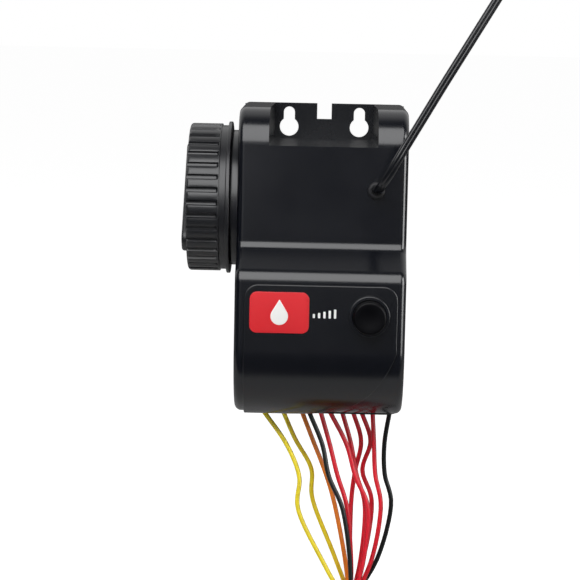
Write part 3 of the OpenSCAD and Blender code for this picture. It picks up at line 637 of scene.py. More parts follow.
# %% Cutting tools, and softening what the frame already has
FLAT_ANGLE = np.radians(0.4)


def applied(mesh, *settings):
    """Runs modifiers, each (type, {setting: value}), over a mesh and returns the result."""
    obj = bpy.data.objects.new("being_cut", mesh)
    bpy.context.scene.collection.objects.link(obj)
    for kind, values in settings:
        modifier = obj.modifiers.new(kind, kind)
        for key, value in values.items():
            setattr(modifier, key, value)
    graph = bpy.context.evaluated_depsgraph_get()
    result = bpy.data.meshes.new_from_object(obj.evaluated_get(graph))
    bpy.data.objects.remove(obj)
    return result


def carve(mesh, tools, operation="DIFFERENCE"):
    """Cuts or joins closed meshes, one after the other."""
    for tool in tools:
        cutter = bpy.data.objects.new("cutter", tool)
        bpy.context.scene.collection.objects.link(cutter)
        mesh = applied(mesh, ("BOOLEAN", {"object": cutter, "operation": operation, "solver": "EXACT"}))
        bpy.data.objects.remove(cutter)
    return mesh


def soften(mesh, width, angle=35, segments=2):
    """Bevels every edge sharper than an angle and keeps flat faces flat in the shading."""
    return applied(mesh,
                   ("BEVEL", {"width": width * MM, "segments": segments, "limit_method": "ANGLE",
                              "angle_limit": np.radians(angle), "harden_normals": False,
                              "use_clamp_overlap": True}),
                   ("WEIGHTED_NORMAL", {"keep_sharp": True}))


def refined(node, material, width):
    """A frame node's own shape, welded, with softened edges; it replaces the node."""
    mesh = frame["nodes"][node].data.copy()
    bm = bmesh.new()
    bm.from_mesh(mesh)
    bmesh.ops.remove_doubles(bm, verts=bm.verts, dist=WELD_DISTANCE)
    bmesh.ops.dissolve_limit(bm, angle_limit=FLAT_ANGLE, verts=bm.verts, edges=bm.edges)
    mark_sharp(bm)
    bm.to_mesh(mesh)
    bm.free()
    return piece(node + "_finished", soften(mesh, width), material, body_of[node],
                 [node])


def box_tool(low, high):
    """A plain cutting block."""
    low, high = np.asarray(low, float), np.asarray(high, float)
    ring = np.array([[low[0], low[1]], [high[0], low[1]], [high[0], high[1]], [low[0], high[1]]])
    rings = [np.column_stack([ring, np.full(4, z)]) for z in (low[2], high[2])]
    return loft("block", np.array(rings))


def rod_tool(x, z, r, d0, d1, n=64):
    """A round cutting rod that points forward, from depth d0 to d1."""
    ring = circle(r, n)
    rings = [np.column_stack([x + ring[:, 0], np.full(n, -d), z + ring[:, 1]]) for d in (d0, d1)]
    return loft("rod", np.array(rings))


# %% [markdown]
# The casing is one moulding. Seen from the side it has a round shoulder, a flat upper front,
# a slope, and a lower front that rolls under in a big radius. The crease is where the upper
# front turns into the slope, the brow where the slope turns into the lower front. Extruding
# that outline would leave knife edges at the sides, so each edge is a stack of outlines: as
# the outline is drawn in by t, it moves out to x, and (t, x) runs along a quarter circle.

# %% Casing: outline of its side
UPPER_DEPTH, CREASE_DROP, SLOPE_DROP = 70.0, 51.5, 63.0
SHOULDER_R, BOTTOM_R = 17.0, 33.0
CREASE_R, BROW_R, SIDE_R = 5.5, 8.0, 3.0
WALL = 2.4
RECESS_W, RECESS_Z, RECESS_DRAFT = 50.0, -5.5, 1.3
round_z, round_depth = bottom_z + BOTTOM_R, front_depth - BOTTOM_R
slope_angle = np.arctan2(front_depth - UPPER_DEPTH, SLOPE_DROP - CREASE_DROP)


def arc(centre, r, a0, a1, n):
    """Points of an arc in degrees; 0 points forward and 90 up."""
    a = np.radians(np.linspace(a0, a1, n))
    return np.column_stack([centre[0] + r * np.cos(a), centre[1] + r * np.sin(a)])


def side_outline(inset, rear=None):
    """Depth and height of the casing's side, drawn in by inset; every arc keeps its centre."""
    lean = np.degrees(slope_angle)
    reach = np.tan(slope_angle / 2)
    crease = (UPPER_DEPTH + CREASE_R, -CREASE_DROP + CREASE_R * reach)
    brow = (front_depth - BROW_R, -SLOPE_DROP - BROW_R * reach)
    rear = plate_t if rear is None else rear
    return np.vstack([
        [[rear, top_z - inset]],
        arc((UPPER_DEPTH - SHOULDER_R, top_z - SHOULDER_R), SHOULDER_R - inset, 90, 0, 20),
        arc(crease, CREASE_R + inset, 180, 180 + lean, 9),
        arc(brow, BROW_R - inset, lean, 0, 11),
        arc((round_depth, round_z), BOTTOM_R - inset, 0, -90, 34),
        [[rear, bottom_z + inset]],
    ])


def outline_rings(insets, places, rear=None):
    """Side outlines at their X places, as an array (rings, points, 3)."""
    outlines = [side_outline(t, rear) for t in insets]
    return np.array([np.column_stack([np.full(len(o), x), -o[:, 0], o[:, 1]])
                     for o, x in zip(outlines, places)])


turn_in = np.linspace(0, np.pi / 2, 9)
insets = SIDE_R * (1 - np.cos(turn_in))
places = half_w - SIDE_R * (1 - np.sin(turn_in))
casing = loft("casing", outline_rings(np.concatenate([insets[::-1], insets]),
                                      np.concatenate([-places[::-1], places])))
print("casing shell", len(casing.polygons), "faces")

# %% [markdown]
# Inside, the casing is hollow. Its cavity is the same outline drawn in by the wall, less the
# pocket for the wall screws and the screw bosses. The pocket has a draft: it is a little
# narrower at the wall plate than at the front, so that the moulding comes off its tool.
# Then come the openings.

# %% Casing: cavity and openings
gland_low, gland_high = extent("antenna_gland")
gland_x, gland_z = (gland_low[0] + gland_high[0]) / 2, (gland_low[2] + gland_high[2]) / 2
bezel_low, bezel_high = extent("button_bezel")
button_x, button_z = (bezel_low[0] + bezel_high[0]) / 2, (bezel_low[2] + bezel_high[2]) / 2
chamber_low, chamber_high = extent("battery_chamber")
bay_y, bay_z = (chamber_low[1] + chamber_high[1]) / 2, (chamber_low[2] + chamber_high[2]) / 2
BEZEL_TUBE_R, GLAND_TUBE_R, FREE_PLAY = 8.46, 3.2, 0.1
NECK_R, NECK_PLAY = 29.5, 0.6
SLOT_X0, SLOT_X1, SLOT_Y, SLOT_R, SLOT_PLAY = -23.8, 30.2, -46.0, 6.0, 0.2
SCREW_HEAD_R, BOSS_R, BOSS_LENGTH = 3.0, 3.2, 17
screw_low, screw_high = extent("back_screws")
screw_x = screw_high[0] - SCREW_HEAD_R
screw_zs = (screw_high[2] - SCREW_HEAD_R, screw_low[2] + SCREW_HEAD_R)

cavity = loft("cavity", outline_rings([WALL, WALL], [-half_w + WALL, half_w - WALL], plate_t - 1))
pocket_wall = RECESS_W / 2 + WALL
bosses = [rod_tool(sx * screw_x, z, BOSS_R, -1, plate_t + BOSS_LENGTH)
          for sx in (-1, 1) for z in screw_zs]
pocket_block = box_tool((-pocket_wall, -100, RECESS_Z - WALL), (pocket_wall, 10, 30))
cavity = carve(cavity, [pocket_block] + bosses)
neck_start, neck_stop = -half_w - 5, -half_w + WALL + 3
neck_tool = lathe("neck_tool", [(neck_start, 0), (neck_start, NECK_R + NECK_PLAY),
                                (neck_stop, NECK_R + NECK_PLAY), (neck_stop, 0)],
                  (0, bay_y, bay_z), (1, 0, 0), (0, 1, 0))
slot_outline = rounded_outline(SLOT_X1 - SLOT_X0 + 2 * SLOT_R + SLOT_PLAY,
                               2 * SLOT_R + SLOT_PLAY, SLOT_R + 0.495 * SLOT_PLAY)
slot_rings = np.array([np.column_stack([slot_outline[:, 0] + (SLOT_X0 + SLOT_X1) / 2,
                                        slot_outline[:, 1] + SLOT_Y, np.full(len(slot_outline), z)])
                       for z in (bottom_z - 3, bottom_z + WALL + 3)])
narrow_w = RECESS_W - 2 * RECESS_DRAFT
pocket_rings = []
for depth, width in ((-5, narrow_w), (plate_t + 4, narrow_w), (UPPER_DEPTH, RECESS_W),
                     (120, RECESS_W)):
    o = rounded_outline(width, 2 * (top_z - RECESS_Z), 0.8, 5)
    pocket_rings.append(np.column_stack([o[:, 0], np.full(len(o), -depth), o[:, 1] + top_z]))
openings = [cavity, loft("pocket", np.array(pocket_rings)), neck_tool, loft("slot", slot_rings),
            rod_tool(button_x, button_z, BEZEL_TUBE_R + FREE_PLAY, front_depth - 6, front_depth + 4),
            rod_tool(gland_x, gland_z, GLAND_TUBE_R + FREE_PLAY, UPPER_DEPTH - 5, UPPER_DEPTH + 4)]
casing = soften(tidy_mesh(carve(casing, openings)), 0.5, 40, 3)
piece("casing", casing, housing_gloss, "case", ["housing"])
print("casing with openings", len(casing.polygons), "faces")

# %% [markdown]
# The wall plate, the screws and the rubber parts already have the right shape in the frame.
# They only lack the small radius that every moulded or turned edge has. The plate's four
# corners also take the casing's own radius, by keeping only what lies in a rounded slab, so
# that they do not stand out behind it.

# %% Plate, screws, grommet
PLATE_EDGE_R = 0.3
FACING = ((1, 0, 0), (0, 0, 1), (0, -1, 0))
plate_edge = slab("plate_edge", rounded_outline(2 * half_w, top_z - bottom_z, SIDE_R, 10),
                  (0, 0, (top_z + bottom_z) / 2), *FACING, -5, 20, 0.01)
back_plate = refined("back_plate", plate_satin, PLATE_EDGE_R)
back_plate.data = soften(carve(back_plate.data, [plate_edge], "INTERSECT"), PLATE_EDGE_R, 60)
refined("back_screws", screw_zinc, 0.15)
refined("lead_grommet", seal_matte, 0.3)
refined("cap_seal", seal_matte, 0.2)
print("plate", len(back_plate.data.polygons), "faces")

# %% [markdown]
# The battery compartment is a turned shape: a collar against the casing, a neck with a screw
# thread, and a blind tube. The thread is a ridge whose place along the axis moves on by one
# pitch, 4 mm, for each turn, so its radius depends on both the place and the angle.

# %% Battery compartment
COLLAR_R, COLLAR_T, MOUTH_R = 31.8, 3.6, 27.5
THREAD_H, THREAD_PITCH, THREAD_FOOT, THREAD_FLANK, FADE_IN = 1.2, 4.0, 1.05, 0.45, 0.8
TUBE_R, TUBE_WALL = 22.6, 1.4
RING_SEAT, RING_SEAT_DEPTH = 1.2, 0.85
mouth_x = chamber_low[0]
collar_x = -half_w - COLLAR_T
ring_x = collar_x - 2 * RING_SEAT
step_x = -half_w + 5
tube_end = chamber_high[0]
neck_top = [(x, NECK_R, 0) for x in np.arange(mouth_x + 0.9, ring_x - 1.4, 0.33)]
compartment_profile = rounded_profile(
    [(tube_end, 0, 0), (tube_end, TUBE_R + TUBE_WALL, 0.8), (step_x, TUBE_R + TUBE_WALL, 0.1),
     (step_x, NECK_R + 0.5, 0.2), (-half_w + 0.02, NECK_R + 0.5, 0), (-half_w + 0.02, COLLAR_R, 0.1),
     (collar_x, COLLAR_R, 0.8), (collar_x, NECK_R, 0.4), (ring_x + RING_SEAT, NECK_R, 0.15),
     (ring_x + RING_SEAT, NECK_R - RING_SEAT_DEPTH, 0.1),
     (ring_x - RING_SEAT, NECK_R - RING_SEAT_DEPTH, 0.1), (ring_x - RING_SEAT, NECK_R, 0)]
    + neck_top[::-1]
    + [(mouth_x, NECK_R, 0.5), (mouth_x, MOUTH_R, 0.3), (step_x - 1.8, MOUTH_R, 0.3),
       (step_x - 1.8, TUBE_R, 0.4), (tube_end - 1.6, TUBE_R, 0.6), (tube_end - 1.6, 0, 0)])


def with_thread(along, radius, angle):
    """Adds a trapezoid ridge: height = THREAD_H * clamp((THREAD_FOOT - d) / THREAD_FLANK),
    where d is the distance to the middle of the ridge. It fades at both ends of the neck."""
    turns = (along - mouth_x) / THREAD_PITCH - angle / (2 * np.pi)
    off = np.abs(turns - np.round(turns)) * THREAD_PITCH
    ridge = THREAD_H * np.clip((THREAD_FOOT - off) / THREAD_FLANK, 0, 1)
    fade = np.clip((along - mouth_x - 0.9) / FADE_IN, 0, 1)
    fade = fade * np.clip((ring_x - 1.6 - along) / FADE_IN, 0, 1)
    on_neck = (np.abs(radius - NECK_R) < 1e-6) & (along < ring_x - RING_SEAT)
    return radius + np.where(on_neck, ridge * fade, 0)


compartment = lathe("battery_compartment", compartment_profile, (0, bay_y, bay_z), (1, 0, 0),
                    (0, 1, 0), 144, shift=with_thread)
piece("battery_compartment", compartment, chamber_satin, "case", ["battery_chamber"])
neck_ring = lathe("neck_ring", np.array([ring_x, NECK_R + 0.2]) + circle(1.0, 16), (0, bay_y, bay_z),
                  (1, 0, 0), (0, 1, 0), 96, closed=True)
piece("neck_ring", neck_ring, seal_matte, "case", ["neck_seal"])
print("compartment", len(compartment.polygons), "faces")

# %% [markdown]
# The cap screws over the neck. Thirty-six ribs run along its grip; between them the radius
# drops to the groove's floor, with sides that lean, so the radius is a function of angle.
# A raised bar crosses its domed end, for turning it by hand.

# %% Battery cap
cap_low, cap_high = extent("battery_cap")
CAP_R, FLANGE_R, BAND_R, CAP_BORE_R = 34.7, 35.7, 33.9, 31.2
RIBS, GROOVE_DEPTH, GROOVE_W = 36, 1.2, 2.1
BAR_RISE, BAR_LEN, BAR_W, BAR_ANGLE = 2.6, 58.0, 12.0, np.radians(40)
CAP_BORE_DEPTH, FLANGE_T, GRIP_LENGTH = 13.7, 1.7, 15.0
END_DOME, END_DOME_R = 0.7, 31.0
GROOVE_LEAN, RIB_CROWN = 0.7, 0.18
flange_x = cap_high[0]
bore_x, band_x = flange_x - CAP_BORE_DEPTH, flange_x - FLANGE_T
cap_end = cap_low[0] + BAR_RISE
grip_x = cap_end + GRIP_LENGTH
end_dome = [(cap_end - END_DOME * (1 - (r / END_DOME_R)**2), r, 0) for r in (30.0, 26, 21, 15, 8, 3)]
cap_profile = rounded_profile(
    [(bore_x, 0, 0), (bore_x, CAP_BORE_R, 0.5), (flange_x, CAP_BORE_R, 0.3),
     (flange_x, FLANGE_R, 0.35), (band_x, FLANGE_R, 0.5), (band_x, BAND_R, 0.3),
     (grip_x, BAND_R, 0.1), (grip_x, CAP_R, 0.4), (grip_x - 0.6, CAP_R, 0), (grip_x - 1.3, CAP_R, 0)]
    + [(x, CAP_R, 0) for x in np.linspace(grip_x - 3, cap_end + 3.6, 5)]
    + [(cap_end, CAP_R, 3.0)] + end_dome + [(cap_end - END_DOME, 0, 0)], 9)


def with_ribs(along, radius, angle):
    """Grooves: radius = min(radius, floor), with sides that lean over GROOVE_LEAN; between
    them each rib is a little lower at its two edges than in its middle."""
    pitch = 2 * np.pi / RIBS
    off = np.abs((angle / pitch + 0.5) % 1 - 0.5) * pitch * CAP_R
    cut = smooth_step(np.clip((GROOVE_W / 2 + GROOVE_LEAN / 2 - off) / GROOVE_LEAN, 0, 1))
    cut = cut * np.clip((grip_x - 0.5 - along) / GROOVE_LEAN, 0, 1)
    crown = RIB_CROWN * (1 - np.clip((off - GROOVE_W / 2) / 2.0, 0, 1))**2
    floor = CAP_R - GROOVE_DEPTH * cut - np.where(along < grip_x - 0.6, crown, 0)
    return np.where(along < grip_x + 0.2, np.minimum(radius, floor), radius)


cap_shell = lathe("cap_shell", cap_profile, (0, bay_y, bay_z), (1, 0, 0), (0, 1, 0), RIBS * 14,
                  shift=with_ribs)
along_bar = (0, np.sin(BAR_ANGLE), np.cos(BAR_ANGLE))
across_bar = (0, np.cos(BAR_ANGLE), -np.sin(BAR_ANGLE))
grip_bar = slab("grip_bar", rounded_outline(BAR_LEN, BAR_W, 4.5, 10), (cap_end, bay_y, bay_z),
                along_bar, across_bar, (-1, 0, 0), -1.0, BAR_RISE, 1.3)
cap_mesh = joined("battery_cap_turned", [cap_shell, grip_bar])
piece("battery_cap_turned", cap_mesh, cap_grained, "cap", ["battery_cap"])
print("cap", len(cap_mesh.polygons), "faces")

# %% [markdown]
# The label panel is a thin skin that follows the lower front and rolls under with it. It is
# drawn flat first, with s measured down the front, then each point is bent onto the casing:
# straight while s is negative, round the big radius after that. Its rings grow from a point
# near the middle, once for the side on the casing and once for the face.

# %% Label panel
PANEL_LEFT, PANEL_RIGHT, PANEL_R, PANEL_T, SEAT_GAP = -34.6, 35.3, 6.5, 1.2, 0.1
PANEL_TOP_Z = -67.4
PANEL_TOP_S = round_z - PANEL_TOP_Z
ARC_X, ARC_S = -32.6, -23.2
arc_r = np.hypot(PANEL_RIGHT - ARC_X, ARC_S)


def bent(x, s, h):
    """Front surface at x, s down from the start of the round, and h above it."""
    a = np.maximum(s, 0) / BOTTOM_R
    depth = np.where(s <= 0, front_depth + h, round_depth + (BOTTOM_R + h) * np.cos(a))
    z = np.where(s <= 0, round_z - s, round_z - (BOTTOM_R + h) * np.sin(a))
    return np.stack([x, -depth, z], axis=-1)


def panel_outline(count):
    """The panel drawn flat: two round corners, a long arc from right to bottom left."""
    q = np.radians(np.linspace(0, 90, 12))
    end = np.pi / 2 + np.arcsin((ARC_X - PANEL_LEFT) / arc_r)
    long_arc = np.linspace(np.arctan2(-ARC_S, PANEL_RIGHT - ARC_X), end - 0.02, 80)
    low_s = ARC_S + arc_r * np.sin(end)
    round_x, round_s = PANEL_R - PANEL_R * np.cos(q), PANEL_TOP_S + PANEL_R - PANEL_R * np.sin(q)
    loop = np.vstack([
        np.column_stack([PANEL_LEFT + round_x, round_s]),
        np.column_stack([PANEL_RIGHT - PANEL_R + PANEL_R * np.sin(q),
                         PANEL_TOP_S + PANEL_R - PANEL_R * np.cos(q)]),
        np.column_stack([ARC_X + arc_r * np.cos(long_arc), ARC_S + arc_r * np.sin(long_arc)]),
        [[PANEL_LEFT + 0.35, low_s - 0.1], [PANEL_LEFT, low_s - 0.9]],
    ])
    loop = np.vstack([loop, loop[:1]])
    run = np.concatenate([[0], np.cumsum(np.linalg.norm(np.diff(loop, axis=0), axis=1))])
    at = np.linspace(0, run[-1], count, endpoint=False)
    return np.column_stack([np.interp(at, run, loop[:, k]) for k in range(2)])


flat = panel_outline(260)
middle = np.array([-3.0, 4.0])
shrink = np.linspace(0.02, 0.985, 30)
PANEL_EDGE = 0.45
rings = [bent(*(middle + (flat - middle) * f).T, SEAT_GAP) for f in shrink]
rings.append(bent(*flat.T, SEAT_GAP))
for k in ROUND_EDGE:
    drawn = inset_outline(flat, PANEL_EDGE * (1 - np.cos(k)))
    rings.append(bent(*drawn.T, PANEL_T - PANEL_EDGE * (1 - np.sin(k))))
rings += [bent(*(middle + (flat - middle) * f).T, PANEL_T) for f in shrink[::-1] * 0.99]
button_hole = rod_tool(button_x, button_z, BEZEL_TUBE_R + FREE_PLAY, front_depth - 3,
                       front_depth + 6)
panel = tidy_mesh(carve(loft("label_panel", np.array(rings)), [button_hole]))
piece("label_panel", panel, panel_film, "case", ["face_panel"])
print("panel", len(panel.polygons), "faces")

# %% [markdown]
# On the panel sit a red badge with a plain water drop, and five bars that grow like a level
# gauge. Raised print is barely half a millimetre thick, but its edge catches the light.

# %% Badge and marks
badge_low, badge_high = extent("badge")
badge_x, badge_z = (badge_low[0] + badge_high[0]) / 2, (badge_low[2] + badge_high[2]) / 2
badge_size = badge_high - badge_low
BADGE_CORNER_R, BADGE_EDGE, PRINT_EDGE = 3.4, 0.28, 0.1
badge_plate = slab("badge_plate", rounded_outline(badge_size[0], badge_size[2], BADGE_CORNER_R, 10),
                   (badge_x, 0, badge_z), *FACING, -badge_high[1], -badge_low[1], BADGE_EDGE)
piece("badge_plate", badge_plate, badge_print, "case", ["badge"])
drop_low, drop_high = extent("badge_symbol")
DROP_R, DROP_TIP = 4.0, 7.6
belly = np.radians(np.linspace(150, 390, 40))
drop = np.vstack([DROP_R * np.column_stack([np.cos(belly), np.sin(belly)]),
                  [[0.18, DROP_TIP - 0.2], [0, DROP_TIP - 0.05], [-0.18, DROP_TIP - 0.2]]])
drop_mesh = slab("drop_symbol", drop, (badge_x, 0, badge_z - 1.6), *FACING,
                 -drop_high[1], -drop_low[1], PRINT_EDGE)
piece("drop_symbol", drop_mesh, white_print, "case", ["badge_symbol"])
marks_low, marks_high = extent("panel_marks")
BARS, BAR_SPACING, GAUGE_X = 5, 2.4, 2.1
bars = []
for k in range(BARS):
    tall = 1.9 + 0.55 * k
    x = GAUGE_X + (k - 2) * BAR_SPACING
    bars.append(slab("bar", rounded_outline(1.1, tall, 0.25, 4), (x, 0, marks_low[2] + tall / 2),
                     *FACING, -marks_high[1], -marks_low[1], PRINT_EDGE))
piece("gauge_bars", joined("gauge_bars", bars), white_print, "case",
      ["panel_marks"])
print("badge", np.round(badge_size[[0, 2]], 1), "mm, and", BARS, "bars")

# %% [markdown]
# The button is a turned cap in a ring. The ring stands two millimetres proud of the panel,
# and the cap six more; a soft edge and a shallow dish in its face give the crescent of light.

# %% Button and its ring
cap_face = -extent("button_cap")[0][1]
stem_end = -extent("button_cap")[1][1]
bezel_floor, bezel_face = -bezel_high[1], -bezel_low[1]
BUTTON_R, BUTTON_EDGE, STEM_R, BORE_R = 7.5, 1.2, 3.0, 7.56
DISH_DEPTH, DISH_R, STEM_PLAY = 0.45, 5.6, 0.06
BEZEL_FLOOR_T, SPRING_ROOM, BEZEL_FLANGE_T = 1.5, 3.6, 2
button_base = bezel_floor + BEZEL_FLOOR_T + SPRING_ROOM
bezel_flange_r = (bezel_high[0] - bezel_low[0]) / 2
dish = [(cap_face - DISH_DEPTH * (1 - (r / DISH_R)**2), r, 0) for r in (4.6, 3.2, 1.6)]
button_profile = rounded_profile(
    [(stem_end, 0, 0), (stem_end, STEM_R, 0.4), (button_base, STEM_R, 0.2),
     (button_base, BUTTON_R, 0.3), (cap_face, BUTTON_R, BUTTON_EDGE)]
    + dish + [(cap_face - DISH_DEPTH, 0, 0)], 9)
button_mesh = lathe("push_button", button_profile, (button_x, 0, button_z), (0, -1, 0), (1, 0, 0), 96)
piece("push_button", button_mesh, button_satin, "button", ["button_cap"])
flange_back, floor_top = bezel_face - BEZEL_FLANGE_T, bezel_floor + BEZEL_FLOOR_T
ring_profile = rounded_profile(
    [(bezel_face, BORE_R + 0.9, 0), (bezel_face, bezel_flange_r, 0.7),
     (flange_back, bezel_flange_r, 0.2), (flange_back, BEZEL_TUBE_R, 0.1),
     (bezel_floor, BEZEL_TUBE_R, 0.3), (bezel_floor, STEM_R + STEM_PLAY, 0.1),
     (floor_top, STEM_R + STEM_PLAY, 0.1), (floor_top, BORE_R, 0.2), (bezel_face, BORE_R, 0.35),
     (bezel_face, BORE_R + 0.9, 0)], 5)[:-1]
ring_mesh = lathe("button_ring", ring_profile, (button_x, 0, button_z), (0, -1, 0), (1, 0, 0), 96,
                  closed=True)
piece("button_ring", ring_mesh, housing_gloss, "case", ["button_bezel"])
print("button", len(button_mesh.polygons), "faces, ring", len(ring_mesh.polygons))

# %% [markdown]
# The antenna lead comes out of a small rubber gland: a stub through the wall, a collar on
# the outside, and a dimple in its face where the lead goes in.

# %% Gland
GLAND_COLLAR_R, DIMPLE_DEPTH = 4.0, 0.7
gland_in, gland_out = -gland_high[1], -gland_low[1]
gland_profile = rounded_profile(
    [(gland_in, 0, 0), (gland_in, GLAND_TUBE_R, 0.3), (UPPER_DEPTH, GLAND_TUBE_R, 0.1),
     (UPPER_DEPTH + 0.02, GLAND_COLLAR_R, 0.1), (gland_out - 0.5, GLAND_COLLAR_R, 0.5),
     (gland_out, 3.1, 0.3), (gland_out, 2.2, 0.2), (gland_out - DIMPLE_DEPTH, 2.1, 0),
     (gland_out - DIMPLE_DEPTH, 0, 0)], 5)
gland_mesh = lathe("lead_gland", gland_profile, (gland_x, 0, gland_z), (0, -1, 0), (1, 0, 0), 64)
piece("lead_gland", gland_mesh, seal_matte, "case", ["antenna_gland"])
print("gland", len(gland_mesh.polygons), "faces")

# %% [markdown]
# Behind the button a coil spring pushes it back out. It is a round wire carried along a
# helix, and a smooth step along the axis leaves the end turns lying flat.

# %% Spring
SPRING_WIRE_R, SPRING_COIL_R, SPRING_TURNS, PRESS_TRAVEL = 0.3, 5.0, 3.5, 2.0
spring_low, spring_high = extent("button_spring")
spring_long = spring_high[1] - spring_low[1]
FLAT_TURNS = 0.6
along_wire = np.linspace(0, 1, 170)
wound = 2 * np.pi * SPRING_TURNS * along_wire
climb = smooth_step(np.clip((along_wire * SPRING_TURNS - FLAT_TURNS)
                            / (SPRING_TURNS - 2 * FLAT_TURNS), 0, 1))
coil_y = spring_high[1] - SPRING_WIRE_R - climb * (spring_long - 2 * SPRING_WIRE_R)
coil_path = np.column_stack([button_x + SPRING_COIL_R * np.cos(wound), coil_y,
                             button_z + SPRING_COIL_R * np.sin(wound)])
coil_mesh = sweep("coil_spring", coil_path, circle(SPRING_WIRE_R, 10), guide=(0, 1, 0))
coil_spring = piece("coil_spring", coil_mesh, spring_wire, "case", ["button_spring"])
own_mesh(coil_spring)
print("spring", np.round(spring_long, 2), "mm long at rest, fixed end at", np.round(spring_high[1], 2))

# %% [markdown]
# A nylon tie holds the hank: a band with round corners, and the block that locks it.

# %% Tie
tie_low, tie_high = extent("hank_tie")
tie_c, tie_s = (tie_low + tie_high) / 2, tie_high - tie_low
TIE_T, TIE_BEVEL = 1.2, 0.3
band_out = rounded_outline(tie_s[0], tie_s[1], 5.0, 10)
band_in = inset_outline(band_out, TIE_T)
rim_out, rim_in = inset_outline(band_out, TIE_BEVEL), inset_outline(band_out, 0.9)
h = tie_s[2] / 2
loops = [(band_out, -h + TIE_BEVEL), (band_out, h - TIE_BEVEL), (rim_out, h), (rim_in, h),
         (band_in, h - TIE_BEVEL), (band_in, -h + TIE_BEVEL), (rim_in, -h), (rim_out, -h)]
band = loft("tie_band", np.array([np.column_stack([o + tie_c[:2], np.full(len(o), tie_c[2] + z)])
                                  for o, z in loops]), wrap_rings=True)
lock = slab("tie_lock", rounded_outline(7.0, 6.0, 1.2, 6),
            (tie_c[0] - 4, tie_low[1] + 0.6, tie_c[2]), *FACING, 0, 4.0, 0.8)
piece("cable_tie", joined("cable_tie", [band, lock]), tie_nylon, "case",
      ["hank_tie"])
print("tie", np.round(tie_s, 1), "mm")

# %% [markdown]
# With the cap off, the tray can be drawn out. It carries two flat nine-volt batteries; each
# has a thin metal jacket that is crimped over its two ends, so its outline steps in there.

# %% Tray and batteries
refined("battery_carrier", chamber_satin, 0.4)
refined("battery_snaps", nickel_plate, 0.3)
CELL_CORNER_R, STUD_H, STUD_R, STUD_OFFSET = 2.2, 2.6, 3.2, 6.35
CRIMP = ((0.0, 1.6), (0.0, 0.45), (0.3, 0.12), (1.2, 0.0), (1.4, 0.15), (1.6, 0.0))
for node in ("battery_upper", "battery_lower"):
    cell_low, cell_high = extent(node)
    centre_y, cell_z = (cell_low[1] + cell_high[1]) / 2, (cell_low[2] + cell_high[2]) / 2
    body_end = cell_high[0] - STUD_H
    jacket_outline = rounded_outline(cell_high[1] - cell_low[1], cell_high[2] - cell_low[2],
                                     CELL_CORNER_R, 7)
    steps = [(cell_low[0] + x, inset) for x, inset in CRIMP]
    steps += [(body_end - x, inset) for x, inset in CRIMP[::-1]]
    rings = []
    for x, inset in steps:
        o = inset_outline(jacket_outline, inset)
        rings.append(np.column_stack([np.full(len(o), x), centre_y + o[:, 0], cell_z + o[:, 1]]))
    parts = [loft("jacket", np.array(rings))]
    stud = [(body_end - 0.2, 0, 0), (body_end - 0.2, STUD_R, 0), (body_end + 1.9, 2.8, 0.2),
            (body_end + STUD_H, STUD_R, 0.3), (body_end + STUD_H, 2.0, 0.3),
            (body_end + 1.6, 1.7, 0.2), (body_end + 1.6, 0, 0)]
    for side in (-1, 1):
        parts.append(lathe("stud", rounded_profile(stud), (0, centre_y + side * STUD_OFFSET, cell_z),
                           (1, 0, 0), (0, 1, 0), 40))
    piece(node + "_crimped", joined(node + "_crimped", parts), battery_jacket, "battery_tray",
          [node])
    print(node, np.round(cell_high - cell_low, 1), "mm")

# %% [markdown]
# What is sealed inside keeps the frame's own shape; it only needs its finish.

# %% Finishes of the sealed parts
inner = {
    "back_seal": seal_matte, "contact_board": solder_mask, "contact_pins": gold_plate,
    "button_nut": chip_epoxy, "button_seal": seal_matte,
    "button_clip": spring_wire, "main_board": solder_mask, "board_screws": screw_zinc,
    "tact_switch": chip_epoxy, "radio_module": can_metal, "microcontroller": chip_epoxy,
    "capacitors": can_metal, "driver_chips": chip_epoxy, "lead_header": nylon_white,
    "potting_block": resin_cast, "antenna_nut": chip_epoxy,
}
for node, material in inner.items():
    obj = frame["nodes"][node]
    if obj.material_slots:
        for place in obj.material_slots:
            place.material = material
    else:
        obj.data.materials.append(material)
print(len(inner), "sealed nodes finished")

# %% [markdown]
# The studio. Gloss and colour are lit by different lamps, because a black glossy casing
# shows the lamp itself, and a red badge only shows how much light falls on it. One large
# lamp in front and above is seen in the gloss and draws the bright bands on the shoulder
# and the brow; another, in nearly the same place, lights the colours and isn't mirrored.
# A strip on the right draws the edge line, and two dim cards below soften the fronts.
# A lamp's power follows from the radiance wanted: power = radiance * pi * area.

# %% Lights
LAMPS_AIM_AT = np.array([-0.01, -0.045, -0.06])


def softbox(name, azimuth, elevation, distance, width, height, radiance, matt=True, gloss=True):
    """Area light that faces the object; azimuth is measured from the front towards the right.
    matt and gloss say whether it lights colours, and whether gloss shows it."""
    az, el = np.radians([azimuth, elevation])
    away = np.array([np.sin(az) * np.cos(el), -np.cos(az) * np.cos(el), np.sin(el)])
    data = bpy.data.lights.new(name, "AREA")
    data.shape = "RECTANGLE"
    data.size, data.size_y = width, height
    data.energy = radiance * np.pi * width * height
    lamp = bpy.data.objects.new(name, data)
    lamp.location = LAMPS_AIM_AT + away * distance
    lamp.rotation_euler = Vector(away).to_track_quat("Z", "Y").to_euler()
    lamp.visible_camera, lamp.visible_diffuse, lamp.visible_glossy = False, matt, gloss
    bpy.context.scene.collection.objects.link(lamp)


